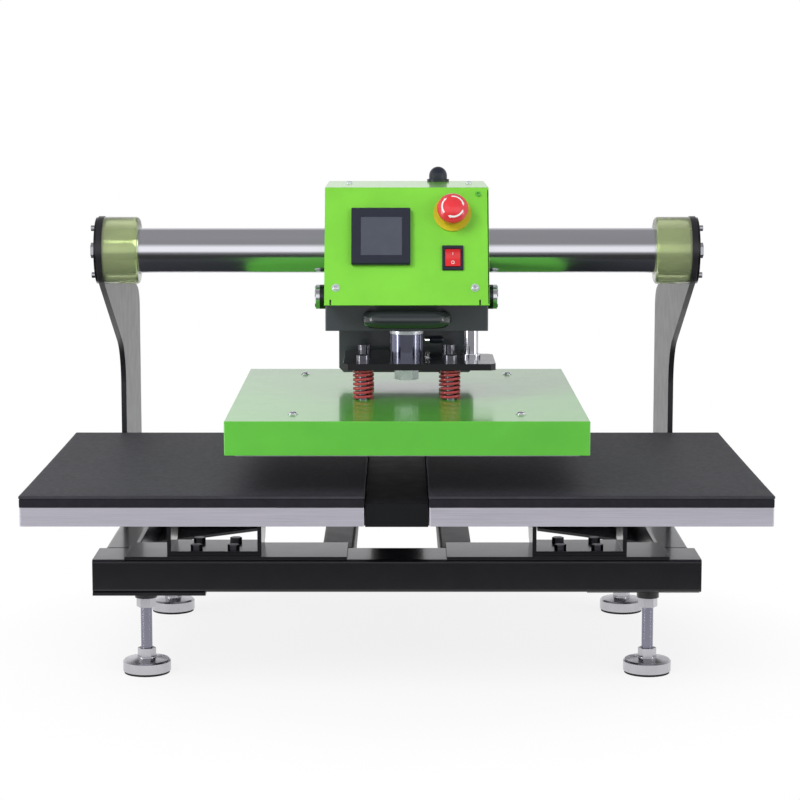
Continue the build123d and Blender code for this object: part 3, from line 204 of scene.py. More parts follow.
def linear(colour):
    """Colour as seen, 0 to 255 a channel, as the shader's linear values."""
    return tuple((c / 255 / 12.92) if c < 10.31 else ((c / 255 + 0.055) / 1.055) ** 2.4 for c in colour)


class Finish:
    """A material that starts as one shader and takes surface detail step by step."""

    def __init__(self, name, colour, metallic=0.0, roughness=0.5, **sockets):
        self.material = bpy.data.materials.new(name)
        self.material.use_nodes = True
        self.tree = self.material.node_tree
        self.shader = self.tree.nodes["Principled BSDF"]
        self.colour = linear(colour)
        self.shader.inputs["Base Color"].default_value = (*self.colour, 1)
        self.shader.inputs["Metallic"].default_value = metallic
        self.shader.inputs["Roughness"].default_value = roughness
        for socket, value in sockets.items():
            self.shader.inputs[socket.replace("_", " ")].default_value = value
        self.coordinates = self.tree.nodes.new("ShaderNodeTexCoord").outputs["Object"]
        self.normal = None

    def link(self, source, target):
        """Join one node's output to another's input."""
        self.tree.links.new(source, target)

    def noise(self, size, stretch=(1, 1, 1), detail=4.0, roughness=0.55):
        """Cloudy pattern whose features are about this size; a stretched axis has longer ones."""
        mapping = self.tree.nodes.new("ShaderNodeMapping")
        mapping.inputs["Scale"].default_value = [1 / s for s in stretch]
        self.link(self.coordinates, mapping.inputs["Vector"])
        node = self.tree.nodes.new("ShaderNodeTexNoise")
        node.inputs["Scale"].default_value = 1 / size
        node.inputs["Detail"].default_value = detail
        node.inputs["Roughness"].default_value = roughness
        self.link(mapping.outputs["Vector"], node.inputs["Vector"])
        return node.outputs["Fac"]

    def cells(self, size):
        """Fine grain of rounded cells of this size."""
        node = self.tree.nodes.new("ShaderNodeTexVoronoi")
        node.inputs["Scale"].default_value = 1 / size
        self.link(self.coordinates, node.inputs["Vector"])
        return node.outputs["Distance"]

    def span(self, pattern, low, high, start=0.3, end=0.7):
        """The pattern's middle range carried over to run from low to high."""
        node = self.tree.nodes.new("ShaderNodeMapRange")
        node.inputs["From Min"].default_value = start
        node.inputs["From Max"].default_value = end
        node.inputs["To Min"].default_value = low
        node.inputs["To Max"].default_value = high
        self.link(pattern, node.inputs["Value"])
        return node.outputs["Result"]

    def tint(self, pattern, darker, lighter):
        """Let the colour drift between a darker and a lighter shade of itself."""
        ramp = self.tree.nodes.new("ShaderNodeValToRGB")
        ramp.color_ramp.elements[0].position = 0.3
        ramp.color_ramp.elements[1].position = 0.7
        for element, factor in zip(ramp.color_ramp.elements, (darker, lighter)):
            element.color = (*[min(c * factor, 1.0) for c in self.colour], 1)
        self.link(pattern, ramp.inputs["Fac"])
        self.link(ramp.outputs["Color"], self.shader.inputs["Base Color"])
        return self

    def rough(self, pattern, low, high):
        """Let the roughness drift between two values."""
        self.link(self.span(pattern, low, high), self.shader.inputs["Roughness"])
        return self

    def edges(self, radius):
        """Soften the edges, as paint and wear do."""
        node = self.tree.nodes.new("ShaderNodeBevel")
        node.samples = 4
        node.inputs["Radius"].default_value = radius
        self.normal = node.outputs["Normal"]
        self.link(self.normal, self.shader.inputs["Normal"])
        return self

    def bump(self, pattern, height, strength=1.0):
        """Raise the surface by the pattern, this high at most."""
        node = self.tree.nodes.new("ShaderNodeBump")
        node.inputs["Distance"].default_value = height
        node.inputs["Strength"].default_value = strength
        self.link(pattern, node.inputs["Height"])
        if self.normal:
            self.link(self.normal, node.inputs["Normal"])
        self.normal = node.outputs["Normal"]
        self.link(self.normal, self.shader.inputs["Normal"])
        return self


def enamel(name, colour, roughness, edge=0.8 * MM, coat=0.4, **sockets):
    """Sprayed paint: faint orange peel, a thin coat and slightly cloudy gloss."""
    finish = Finish(name, colour, 0.0, roughness, Coat_Weight=coat, Coat_Roughness=0.06, **sockets)
    finish.tint(finish.noise(60 * MM), 0.93, 1.06)
    finish.rough(finish.noise(25 * MM, detail=1.0), roughness * 0.95, roughness * 1.06)
    finish.edges(edge)
    finish.bump(finish.noise(2.2 * MM, detail=1.0), 0.009 * MM)
    return finish.material


def polished(name, colour, roughness, along=(1, 1, 1), metallic=1.0):
    """Plated or ground metal; its gloss drifts, in long streaks where an axis is stretched."""
    finish = Finish(name, colour, metallic, roughness)
    finish.tint(finish.noise(30 * MM, along), 0.94, 1.04)
    finish.rough(finish.noise(14 * MM, along, detail=2.0), roughness * 0.75, roughness * 1.3)
    return finish.material


def brushed(name, colour, roughness, along, depth, edge=0.5 * MM):
    """Sawn or brushed metal: long scratches along one axis."""
    finish = Finish(name, colour, 0.5, roughness)
    streaks = finish.noise(1.2 * MM, along, detail=6.0, roughness=0.7)
    finish.tint(streaks, 0.86, 1.08)
    finish.rough(finish.noise(9 * MM, along), roughness * 0.8, roughness * 1.2)
    finish.edges(edge)
    finish.bump(streaks, depth)
    return finish.material


def rubber(name, colour, roughness, grain, depth, **sockets):
    """Moulded rubber or foam with a fine grain."""
    finish = Finish(name, colour, 0.0, roughness, Specular_IOR_Level=0.35, **sockets)
    finish.tint(finish.noise(18 * MM), 0.88, 1.1)
    finish.rough(finish.noise(6 * MM), roughness * 0.92, min(roughness * 1.08, 1.0))
    finish.bump(finish.cells(grain), depth)
    return finish.material


def plastic(name, colour, roughness, edge=0.5 * MM, **sockets):
    """Moulded plastic with a slight texture."""
    finish = Finish(name, colour, 0.0, roughness, **sockets)
    finish.tint(finish.noise(12 * MM), 0.95, 1.05)
    finish.rough(finish.noise(4 * MM), roughness * 0.9, roughness * 1.15)
    finish.edges(edge)
    finish.bump(finish.noise(0.7 * MM), 0.006 * MM)
    return finish.material


def soft_clear(name, colour):
    """Cast urethane: clear enough to show what is behind it, with a milky body."""
    finish = Finish(name, colour, 0.0, 0.14, Transmission_Weight=0.76, IOR=1.38, Coat_Weight=0.3)
    finish.tint(finish.noise(30 * MM), 0.94, 1.04)
    finish.bump(finish.noise(7 * MM, detail=1.0), 0.05 * MM)
    return finish.material


def felt(name, colour):
    """Matted fibre with a soft, uneven surface."""
    finish = Finish(name, colour, 0.0, 0.95, Sheen_Weight=0.3)
    finish.tint(finish.noise(4 * MM), 0.8, 1.1)
    finish.bump(finish.noise(1 * MM, detail=8.0), 0.3 * MM)
    return finish.material


LENGTHWAYS = (40, 1, 1)
UPRIGHT = (1, 1, 30)

FINISHES = {
    "frame_paint": enamel("gloss_black_paint", (22, 20, 25), 0.22, coat=0.2, Specular_IOR_Level=0.38),
    "centre_paint": enamel("satin_black_paint", (20, 21, 24), 0.6, coat=0.0, Specular_IOR_Level=0.2),
    "dark_steel": polished("blackened_steel", (78, 78, 84), 0.34),
    "green_paint": enamel("green_paint", (126, 210, 62), 0.2),
    "chrome": polished("ground_steel", (234, 234, 241), 0.17, LENGTHWAYS),
    "aluminium": brushed("brushed_aluminium", (200, 197, 208), 0.38, (60, 60, 1), 0.03 * MM),
    "pad_rubber": rubber("pad_foam", (32, 32, 38), 0.9, 0.9 * MM, 0.05 * MM),
    "bumper_rubber": soft_clear("bumper_urethane", (220, 232, 182)),
    "bronze": polished("bronze", (178, 142, 96), 0.3),
    "spring_paint": enamel("spring_enamel", (176, 56, 62), 0.3, edge=0.3 * MM, coat=0.3),
    "insulation": felt("glass_wool", (200, 194, 178)),
    "black_plastic": plastic("black_plastic", (34, 38, 50), 0.36),
    "screen": plastic("screen_glass", (76, 80, 91), 0.12, Coat_Weight=0.5),
    "stop_yellow": plastic("yellow_plastic", (208, 192, 42), 0.3),
    "stop_red": plastic("red_plastic", (226, 52, 60), 0.24, Coat_Weight=0.4),
    "rocker_red": plastic("rocker_plastic", (214, 40, 44), 0.22, Coat_Weight=0.4),
    "foot_steel": polished("zinc_steel", (192, 191, 196), 0.24),
    "sole_rubber": rubber("sole_rubber", (34, 34, 36), 0.8, 1.2 * MM, 0.08 * MM),
}
PAD_SKIN = rubber("pad_skin", (54, 54, 60), 0.6, 0.5 * MM, 0.02 * MM)
# Darker copy of the green paint: painted shade for the heat cover's upright front, which takes less
# light than the sloping panel.
SHADED_GREEN_PAINT = enamel("green_paint_shaded_copy", (94, 186, 61), 0.2)
BEAM_PAINT = enamel("grey_black_paint", (61, 65, 71), 0.3)
HANDLE_PAINT = enamel("handle_paint", (44, 48, 50), 0.2)
RAIL_PAINT = enamel("centre_rail_paint", (22, 20, 25), 0.42, coat=0.0, Specular_IOR_Level=0.3)
SIDE_PAINT = enamel("side_plate_paint", (34, 33, 38), 0.34, coat=0.0)
BRIGHT_STEEL = polished("bright_steel", (222, 222, 228), 0.14)
PALE_STEEL = polished("pale_zinc_steel", (228, 231, 238), 0.28, metallic=0.55)
DARK_CHROME = polished("dark_chrome", (118, 118, 126), 0.16)
# Polished steel made darker for the ram's coupler: painted reflection of the dark handle in front of
# it.
DARKENED_COUPLER_STEEL = polished("steel_darkened_for_reflection", (118, 120, 137), 0.12, UPRIGHT)
STUD_STEEL = polished("stud_steel", (132, 132, 146), 0.24)
UPRIGHT_STEEL = polished("upright_steel", (206, 206, 214), 0.1, UPRIGHT)
PRINT_WHITE = plastic("white_print", (240, 240, 240), 0.45, edge=0.1 * MM)
NODE_FINISHES = {
    # painted shade: the darker copy of the green paint
    "heat_cover": SHADED_GREEN_PAINT,
    "head_beam": BEAM_PAINT,
    "back_plate": BEAM_PAINT,
    "handle": HANDLE_PAINT,
    "centre_rails": RAIL_PAINT,
    "left_side_plate": SIDE_PAINT,
    "right_side_plate": SIDE_PAINT,
    # painted reflection: the coupler's steel is darkened
    "ram_coupler": DARKENED_COUPLER_STEEL,
    "guide_rod": UPRIGHT_STEEL,
    "piston_rod": UPRIGHT_STEEL,
    "rod_nut": PALE_STEEL,
    "plate_nut": PALE_STEEL,
    "shoulder_bolts": DARK_CHROME,
    "tube_end_bolts": BRIGHT_STEEL,
}


# Shapes

def round_outline(angle):
    """Distance from the centre to a circle, for a radius of 1."""
    return 1.0


def hex_outline(angle):
    """Distance from the centre to a hexagon's edge, for flats 2 apart."""
    return 1 / math.cos((angle + math.pi / 6) % (math.pi / 3) - math.pi / 6)


def cross_outline(angle):
    """Distance from the centre to the edge of a cross with arms 1 long."""
    width = 0.26
    c, s = max(abs(math.cos(angle)), 1e-6), max(abs(math.sin(angle)), 1e-6)
    return max(min(1 / c, width / s), min(1 / s, width / c))


def piece(name, verts, faces, finish, crease=40):
    """Mesh object with smooth faces and sharp edges where they fold by more than the crease."""
    mesh = bpy.data.meshes.new(name)
    mesh.from_pydata(verts, [], faces)
    mesh.validate()
    for polygon in mesh.polygons:
        polygon.use_smooth = True
    mesh.set_sharp_from_angle(angle=math.radians(crease))
    mesh.materials.append(finish)
    made = bpy.data.objects.new(name, mesh)
    bpy.context.scene.collection.objects.link(made)
    return made


def lofted(rings, closed=False):
    """Faces that join rings of equally many points; the ends are filled unless closed."""
    verts = [point for ring in rings for point in ring]
    count = len(rings[0])
    faces = []
    steps = len(rings) if closed else len(rings) - 1
    for i in range(steps):
        a, b = i * count, (i + 1) % len(rings) * count
        for j in range(count):
            k = (j + 1) % count
            faces.append((a + j, a + k, b + k, b + j))
    if not closed:
        faces.append(tuple(reversed(range(count))))
        faces.append(tuple(range((len(rings) - 1) * count, len(rings) * count)))
    return verts, faces


def seat(place, normal, across=None):
    """Matrix that puts a shape's Z along the normal, at a place."""
    normal = Vector(normal).normalized()
    across = Vector(across) if across else (X_AXIS if abs(normal.x) < 0.9 else Y_AXIS)
    side = (across - normal * across.dot(normal)).normalized()
    up = normal.cross(side)
    matrix = Matrix((side, up, normal)).transposed().to_4x4()
    matrix.translation = Vector(place)
    return matrix


def turned(rings, matrix, segments=40, closed=False):
    """Solid from a stack of outlines, each with its size and height, along a matrix's Z."""
    loops = []
    for outline, radius, height in rings:
        loop = []
        for i in range(segments):
            angle = 2 * math.pi * i / segments
            reach = radius * outline(angle)
            point = matrix @ Vector((reach * math.cos(angle), reach * math.sin(angle), height))
            loop.append(tuple(point))
        loops.append(loop)
    return lofted(loops, closed)


def merged(parts):
    """One set of points and faces out of several."""
    verts, faces = [], []
    for part_verts, part_faces in parts:
        base = len(verts)
        verts += part_verts
        faces += [tuple(base + i for i in face) for face in part_faces]
    return verts, faces


def add(name, parts, finish, body, crease=40):
    """Piece made of several shapes that rides a body and takes a slot's finish."""
    made = piece(name, *merged(parts), finish, crease)
    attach(made, body)
    return made


def pan_screw(place, normal, diameter, height, turn=0.4):
    """Domed screw head with a cross recess."""
    radius = diameter / 2
    depth = height * 0.55
    across = Matrix.Rotation(turn, 4, "Z")
    rings = [
        (round_outline, radius, 0.0),
        (round_outline, radius, height * 0.3),
        (round_outline, radius * 0.92, height * 0.66),
        (round_outline, radius * 0.76, height * 0.9),
        (round_outline, radius * 0.62, height),
        (cross_outline, radius * 0.56, height),
        (cross_outline, radius * 0.5, height - depth),
    ]
    return turned(rings, seat(place, normal) @ across, 48)


def socket_screw(place, normal, diameter, height, turn=0.3):
    """Cylindrical screw head with a six-sided socket."""
    radius = diameter / 2
    edge = height * 0.1
    rings = [
        (round_outline, radius, 0.0),
        (round_outline, radius, height - edge),
        (round_outline, radius - edge, height),
        (hex_outline, radius * 0.5, height),
        (hex_outline, radius * 0.5, height * 0.45),
    ]
    return turned(rings, seat(place, normal) @ Matrix.Rotation(turn, 4, "Z"), 36)


def washer(place, normal, outer, inner, thick):
    """Flat ring with softened rims."""
    edge = thick * 0.3
    rings = [
        (round_outline, inner / 2, 0.0),
        (round_outline, outer / 2, 0.0),
        (round_outline, outer / 2, thick - edge),
        (round_outline, outer / 2 - edge, thick),
        (round_outline, inner / 2, thick),
    ]
    return turned(rings, seat(place, normal), 40, closed=True)


def middle(node):
    """Middle of a node's box."""
    low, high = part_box(node)
    return (low + high) / 2


# CAD nodes

def finish_nodes():
    """Give each CAD node the finish of its slot."""
    for row in frame["record"]["subparts"]:
        node = frame["nodes"][row["node"]]
        for slot in node.material_slots:
            slot.material = FINISHES[row["material_slot"]]
    for name, finish in NODE_FINISHES.items():
        for slot in frame["nodes"][name].material_slots:
            slot.material = finish


# Panel

def panel_frame():
    """Matrix on the middle of the sloping panel: X across, Y up the slope, Z out of it."""
    low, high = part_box("front_panel")
    foot = Vector(((low.x + high.x) / 2, low.y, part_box("head_beam")[1].z))
    head = Vector((foot.x, low.y + PANEL_SETBACK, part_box("box_shell")[1].z))
    slope = (head - foot).normalized()
    return seat((foot + head) / 2, X_AXIS.cross(slope), X_AXIS)


def on_panel(place, height=0.0):
    """Matrix on the panel this far across, up and out of it."""
    return PANEL @ Matrix.Translation((place[0], place[1], height))


PANEL = panel_frame()


def slab(sink, lift):
    """Corners of a thin bar's section: side, and height from sink below to lift above."""
    return (-1, -sink), (1, -sink), (1, lift), (-1, lift)


def stop_dome(radius):
    """Height of the stop head's dome at a distance from its axis."""
    edge = STOP_HEAD_DIA / 2
    rise = STOP_HEAD_HEIGHT - STOP_HEAD_RIM
    ball = (edge**2 + rise**2) / (2 * rise)
    return STOP_HEAD_HEIGHT - ball + math.sqrt(ball**2 - radius**2)


def stop_head():
    """Smooth mushroom head with a rolled rim, in place of the banded one."""
    edge = STOP_HEAD_DIA / 2
    rings = [
        (round_outline, 2 * MM, 0.0),
        (round_outline, STOP_HEAD_SEAT_DIA / 2, 0.0),
        (round_outline, STOP_HEAD_SEAT_DIA / 2 + 1.0 * MM, 1.2 * MM),
        (round_outline, edge - 0.9 * MM, STOP_HEAD_RIM - 1.6 * MM),
        (round_outline, edge - 0.15 * MM, STOP_HEAD_RIM - 0.5 * MM),
        (round_outline, edge - 0.1 * MM, STOP_HEAD_RIM + 0.3 * MM),
    ]
    for step in range(1, 15):
        radius = (edge - 1.2 * MM) * math.cos(step * math.pi / 30)
        rings.append((round_outline, radius, stop_dome(radius)))
    head = add(
        "stop_head_dome",
        [turned(rings, on_panel(STOP_AT, STOP_HEAD_LIFT), 64)],
        FINISHES["stop_red"],
        "stop_head",
        60,
    )
    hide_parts("stop_head")


def arc_arrow(start, matrix):
    """Curved arrow laid on the dome: a bar that ends in a pointed head."""
    steps = 20
    rings = []
    for i in range(steps + 1):
        along = i / steps
        angle = start + ARROW_SWEEP * along
        tip = max(0.0, (along - ARROW_HEAD_FROM) / (1 - ARROW_HEAD_FROM))
        half = ARROW_WIDTH * (0.5 if tip == 0 else 0.95 * (1 - tip) + 0.02)
        ring = []
        for side, height in slab(ARROW_SINK, ARROW_LIFT):
            r = ARROW_RADIUS + side * half
            point = Vector((r * math.cos(angle), r * math.sin(angle), stop_dome(r) + height))
            ring.append(tuple(matrix @ point))
        rings.append(ring)
    return lofted(rings)


def stop_arrows():
    """Three turn arrows round the stop head."""
    matrix = on_panel(STOP_AT, STOP_HEAD_LIFT)
    arrows = [arc_arrow(ARROW_START + i * 2 * math.pi / 3, matrix) for i in range(3)]
    add("stop_arrows", arrows, PRINT_WHITE, "stop_head")


def rocker_surface(y):
    """Height of the rocker's dished top above its axis."""
    bowl = (ROCKER_HALF**2 + ROCKER_DISH**2) / (2 * ROCKER_DISH)
    return ROCKER_RISE - ROCKER_DISH + bowl - math.sqrt(bowl**2 - y**2)


def rocker_marks():
    """A stroke and a ring on the rocker's dished top."""
    matrix = on_panel(SWITCH_AT) @ Matrix.Rotation(ROCKER_TILT, 4, "X")

    def on_rocker(x, y, height):
        return tuple(matrix @ Vector((x, y, rocker_surface(y) + height)))

    section = slab(MARK_LIFT, MARK_LIFT)
    stroke = [
        [on_rocker(side * STROKE_HALF_WIDTH, y, height) for side, height in section]
        for y in STROKE_STEPS
    ]
    inner, outer = RING_RADII
    steps = 28
    loops = []
    for i in range(steps):
        angle = 2 * math.pi * i / steps
        loop = []
        for side, height in section:
            radius = inner if side < 0 else outer
            y = RING_AT + radius * math.sin(angle)
            loop.append(on_rocker(radius * math.cos(angle), y, height))
        loops.append(loop)
    add("rocker_marks", [lofted(stroke), lofted(loops, True)], PRINT_WHITE, "rocker")


def panel_screws():
    """Bright screws at the panel's lower corners and a painted one at its upper right corner."""
    normal = PANEL.to_3x3() @ Z_AXIS
    low = []
    for side in BOTH_SIDES:
        spot = on_panel((PANEL_SCREW_SHIFT + side * PANEL_SCREW_LOW[0], PANEL_SCREW_LOW[1])).translation
        low.append(pan_screw(spot, normal, *PANEL_SCREW, 0.5 + side))
        low.append(washer(spot, normal, *PANEL_WASHER))
    high = pan_screw(on_panel(PANEL_SCREW_HIGH).translation, normal, *CORNER_SCREW)
    add("panel_screws", low, PALE_STEEL, "carriage")
    # The corner screw also takes the darker copy of the green paint, with its painted shade.
    add("panel_corner_screw", [high], SHADED_GREEN_PAINT, "carriage")


def panel_slits_and_shade_strip():
    """Relief slits at the panel's lower edge, and a dark strip beside its right edge: painted shade for
    the box's shaded side.
    """
    low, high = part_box("front_panel")
    half = (high.x - low.x) / 2
    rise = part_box("box_shell")[1].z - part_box("head_beam")[1].z
    foot = -rise / 2 / PANEL.to_3x3().col[1].z
    slit = (foot + SLIT_SPAN[0], foot + SLIT_SPAN[1])
    shade_strip = (foot + SHADE_STRIP_ENDS[0], -foot - SHADE_STRIP_ENDS[1])
    section = slab(0.3 * MM, 0.08 * MM)
    taper = 0.5 * MM
    strips = []
    for x, wide, (start, end) in (
        (-half + SLIT_LEFT[0], SLIT_LEFT[1], slit),
        (half - SLIT_RIGHT[0], SLIT_RIGHT[1], slit),
        # dark strip of painted shade beside the panel's right edge
        (half - SHADE_STRIP_RIGHT[0], SHADE_STRIP_RIGHT[1], shade_strip),
    ):
        rings = []
        for y in (start, start + taper, end - taper, end):
            squeeze = 0.5 if y in (start, end) else 1.0
            points = [Vector((x + wide * squeeze * side * 0.5, y, height)) for side, height in section]
            rings.append([tuple(PANEL @ point) for point in points])
        strips.append(lofted(rings))
    add("panel_slits_and_shade_strip", strips, FINISHES["centre_paint"], "carriage")


def box_screws():
    """Two small screws on top of the head's cover."""
    low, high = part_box("box_shell")
    middle_x = (low.x + high.x) / 2
    depth = low.y + BOX_SCREW_DEPTH * (high.y - low.y)
    screws = [pan_screw((middle_x + x, depth, high.z), Z_AXIS, *BOX_SCREW) for x in BOX_SCREW_ACROSS]
    add("box_screws", screws, PALE_STEEL, "carriage")


def air_fitting():
    """Hose fitting on the front of the plate behind the ram, with a knurled silver collar."""
    low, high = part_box("back_plate")
    x, y, z = (low.x + high.x) / 2 + FITTING_ACROSS, low.y, low.z + FITTING_UP
    axis_y = y - FITTING_STANDOFF
    along = seat((x, axis_y, z), X_AXIS)
    foot = seat((x + FITTING_STEM_ALONG, y, z), -Y_AXIS)
    body = [
        (round_outline, 2.6 * MM, 0.0),
        (round_outline, 4.4 * MM, 0.6 * MM),
        (round_outline, 4.4 * MM, 15.0 * MM),
        (round_outline, 3.4 * MM, 17.5 * MM),
        (round_outline, 2.0 * MM, 18.5 * MM),
    ]
    stem = [
        (hex_outline, 4.0 * MM, 0.0),
        (hex_outline, 4.0 * MM, 3.5 * MM),
        (round_outline, 3.0 * MM, 3.6 * MM),
        (round_outline, 3.0 * MM, 6.5 * MM),
    ]
    add(
        "air_fitting_body",
        [turned(body, along, 32), turned(stem, foot, 36)],
        FINISHES["black_plastic"],
        "carriage",
    )
    knurl = [
        (round_outline, 2.4 * MM, 0.0),
        (round_outline, 4.6 * MM, 0.2 * MM),
        (round_outline, 4.9 * MM, 0.7 * MM),
        (round_outline, 4.6 * MM, 1.2 * MM),
        (round_outline, 2.4 * MM, 1.4 * MM),
    ]
    collars = []
    for i in range(FITTING_COLLARS):
        collar_x = x - (FITTING_COLLAR_START - FITTING_COLLAR_PITCH * i)
        collars.append(turned(knurl, seat((collar_x, axis_y, z), X_AXIS), 32))
    add("air_fitting_collar", collars, BRIGHT_STEEL, "carriage")


# Tube ends

def bumpers():
    """Soft rings with rolled rims round both ends of the tube."""
    low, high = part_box("bumpers")
    y, z = middle("bumpers").yz
    radius = (high.z - low.z) / 2
    tube_low, tube_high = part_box("guide_tube")
    bore = (tube_high.z - tube_low.z) / 2 + BUMPER_CLEARANCE
    rings = [(round_outline, bore, 0.0), (round_outline, radius, 0.0)]
    for i in range(7):
        turn = i * math.pi / 12
        rings.append((
            round_outline,
            radius - BUMPER_ROUND * (1 - math.cos(turn)),
            BUMPER_LENGTH - BUMPER_ROUND * (1 - math.sin(turn)),
        ))
    rings.append((round_outline, bore + BUMPER_LIP, BUMPER_LENGTH))
    rings.append((round_outline, bore, BUMPER_LENGTH - BUMPER_LIP))
    parts = []
    for side in BOTH_SIDES:
        end = low.x if side < 0 else high.x
        parts.append(turned(rings, seat((end, y, z), (-side, 0, 0)), 72, closed=True))
    made = add("bumper_rings", parts, FINISHES["bumper_rubber"], "base")
    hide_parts("bumpers")


def end_cap_screws():
    """Four small socket screws on each end cap, and a washer round the middle bolt."""
    low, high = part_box("tube_end_caps")
    y, z = middle("tube_end_caps").yz
    radius = (high.z - low.z) / 2 - END_SCREW_INSET
    screws, rings = [], []
    for side in BOTH_SIDES:
        x = low.x if side < 0 else high.x
        for i in range(4):
            angle = math.pi / 2 * (i // 2 * 2 + 1) + (-1) ** i * END_SCREW_SPREAD
            spot = (x, y + radius * math.cos(angle), z + radius * math.sin(angle))
            screws.append(socket_screw(spot, (side, 0, 0), *END_SCREW, i))
        rings.append(washer((x, y, z), (side, 0, 0), *END_WASHER))
    add("end_cap_screws", screws, BRIGHT_STEEL, "base")
    add("end_cap_washers", rings, BRIGHT_STEEL, "base")


# Pads

def rounded_loop(low, high, corner, inset, z, waist=0.0):
    """Closed loop round a rectangle with rounded corners; the waist pulls its sides in."""
    steps, turns = 24, 6
    x0, y0 = low[0] + inset, low[1] + inset
    x1, y1 = high[0] - inset, high[1] - inset
    corner = max(corner - inset, 0.2 * MM)
    centres = [(x1 - corner, y0 + corner, -90), (x1 - corner, y1 - corner, 0)]
    centres += [(x0 + corner, y1 - corner, 90), (x0 + corner, y0 + corner, 180)]
    points = []
    for i, (cx, cy, start) in enumerate(centres):
        arc = []
        for j in range(turns + 1):
            angle = math.radians(start + 90 * j / turns)
            arc.append(Vector((cx + corner * math.cos(angle), cy + corner * math.sin(angle), z)))
        points += arc
        nx, ny, following = centres[(i + 1) % 4]
        angle = math.radians(following)
        target = Vector((nx + corner * math.cos(angle), ny + corner * math.sin(angle), z))
        run = target - arc[-1]
        inwards = Vector((-run.y, run.x, 0)).normalized()
        for j in range(1, steps):
            along = j / steps
            pull = waist * math.sin(math.pi * along) ** 0.5
            points.append(arc[-1] + run * along + inwards * pull)
    return [tuple(point) for point in points]


def sheet_form(low, high, corner, crown):
    """Soft sheet: rolled edges, sides a little pulled in and a slightly crowned top."""
    edge, waist = PAD_EDGE, PAD_WAIST
    loops = [rounded_loop(low, high, corner, edge + 30 * MM, low[2], waist)]
    loops.append(rounded_loop(low, high, corner, edge, low[2], waist))
    for i in range(1, 5):
        turn = i * math.pi / 8
        z = low[2] + edge * (1 - math.cos(turn))
        loops.append(rounded_loop(low, high, corner, edge * (1 - math.sin(turn)), z, waist))
    rim = high[2] - crown
    for i in range(5):
        turn = i * math.pi / 8
        z = rim - edge * (1 - math.sin(turn))
        loops.append(rounded_loop(low, high, corner, edge * (1 - math.cos(turn)), z, waist))
    for inset, rise in ((6, 0.35), (20, 0.65), (50, 0.85), (90, 0.96), (140, 1.0)):
        z = rim + crown * rise
        loops.append(rounded_loop(low, high, corner, edge + inset * MM, z, waist * (1 - rise)))
    return lofted(loops)


def pads():
    """Foam sheet and skin sheet on each lower platen."""
    low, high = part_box("platen_pads")
    cover_low, cover_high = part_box("centre_cover")
    split = high.z - SKIN_THICK
    inset = Vector((SKIN_OVERHANG, SKIN_OVERHANG, 0))
    spans = {
        "left": (low.x, cover_low.x - PAD_CLEARANCE),
        "right": (cover_high.x + PAD_CLEARANCE, high.x),
    }
    made = []
    for name, (x0, x1) in spans.items():
        foam_low = Vector((x0, low.y, low.z)) + inset
        foam_high = Vector((x1, high.y, split)) - inset
        foam = sheet_form(foam_low, foam_high, FOAM_CORNER, 0)
        skin_low, skin_high = Vector((x0, low.y, split)), Vector((x1, high.y, high.z))
        skin = sheet_form(skin_low, skin_high, SKIN_CORNER, PAD_CROWN)
        lower = add(f"pad_foam_{name}", [foam], FINISHES["pad_rubber"], "base", 70)
        upper = add(f"pad_skin_{name}", [skin], PAD_SKIN, "base", 70)
        made += [lower, upper]
    for sheet in made:
        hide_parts("platen_pads")


# Springs

def coil(x, y, low, high):
    """Flat-wire coil with closed, ground ends."""
    wire_wide, wire_high = SPRING_WIRE
    radius = (SPRING_OUTER - wire_wide) / 2
    corner = SPRING_WIRE_CORNER
    per_turn = 32
    end_pitch = SPRING_END_PITCH * wire_high
    open_turns = SPRING_TURNS - 2 * SPRING_END_TURNS
    rise = (high - low - wire_high) - 2 * SPRING_END_TURNS * end_pitch
    loops = []
    for i in range(SPRING_TURNS * per_turn + 1):
        turn = i / per_turn
        first = min(turn, SPRING_END_TURNS) * end_pitch
        open_part = min(max(turn - SPRING_END_TURNS, 0), open_turns) / open_turns * rise
        last = max(turn - SPRING_TURNS + SPRING_END_TURNS, 0) * end_pitch
        z = low + wire_high / 2 + first + open_part + last
        angle = 2 * math.pi * turn
        loop = []
        for quarter in range(4):
            sx = (1, -1, -1, 1)[quarter]
            sz = (1, 1, -1, -1)[quarter]
            for j in range(3):
                bend = math.pi / 2 * (quarter + j / 2)
                across = sx * (wire_wide / 2 - corner) + corner * math.cos(bend)
                up = sz * (wire_high / 2 - corner) + corner * math.sin(bend)
                r = radius + across
                height = min(max(z + up, low), high)
                loop.append((x + r * math.cos(angle), y + r * math.sin(angle), height))
        loops.append(loop)
    return lofted(loops)


def springs():
    """Four coils between the heat cover and the spring plate."""
    low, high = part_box("heat_cover")[1].z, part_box("spring_plate")[0].z
    box_low, box_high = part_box("springs")
    half = SPRING_OUTER / 2
    coils = [
        coil(x, y, low + SPRING_END_GAP, high - SPRING_END_GAP)
        for x in (box_low.x + half, box_high.x - half)
        for y in (box_low.y + half, box_high.y - half)
    ]
    made = add("spring_coils", coils, FINISHES["spring_paint"], "ram")
    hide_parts("springs")
    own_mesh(made)


# Heat platen and ram

def cover_screws():
    """Four screws that hold the heat platen's cover."""
    low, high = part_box("heat_cover")
    centre = middle("heat_cover")
    reach_x = (high.x - low.x) / 2 - COVER_SCREW_INSET[0]
    reach_y = (high.y - low.y) / 2 - COVER_SCREW_INSET[1]
    screws = []
    for i in BOTH_SIDES:
        for j in BOTH_SIDES:
            spot = (centre.x + i * reach_x, centre.y + j * reach_y, high.z)
            screws.append(pan_screw(spot, Z_AXIS, *COVER_SCREW, 0.3 + i + 2 * j))
            screws.append(washer(spot, Z_AXIS, *COVER_WASHER))
    add("cover_screws", screws, BRIGHT_STEEL, "heat_platen")


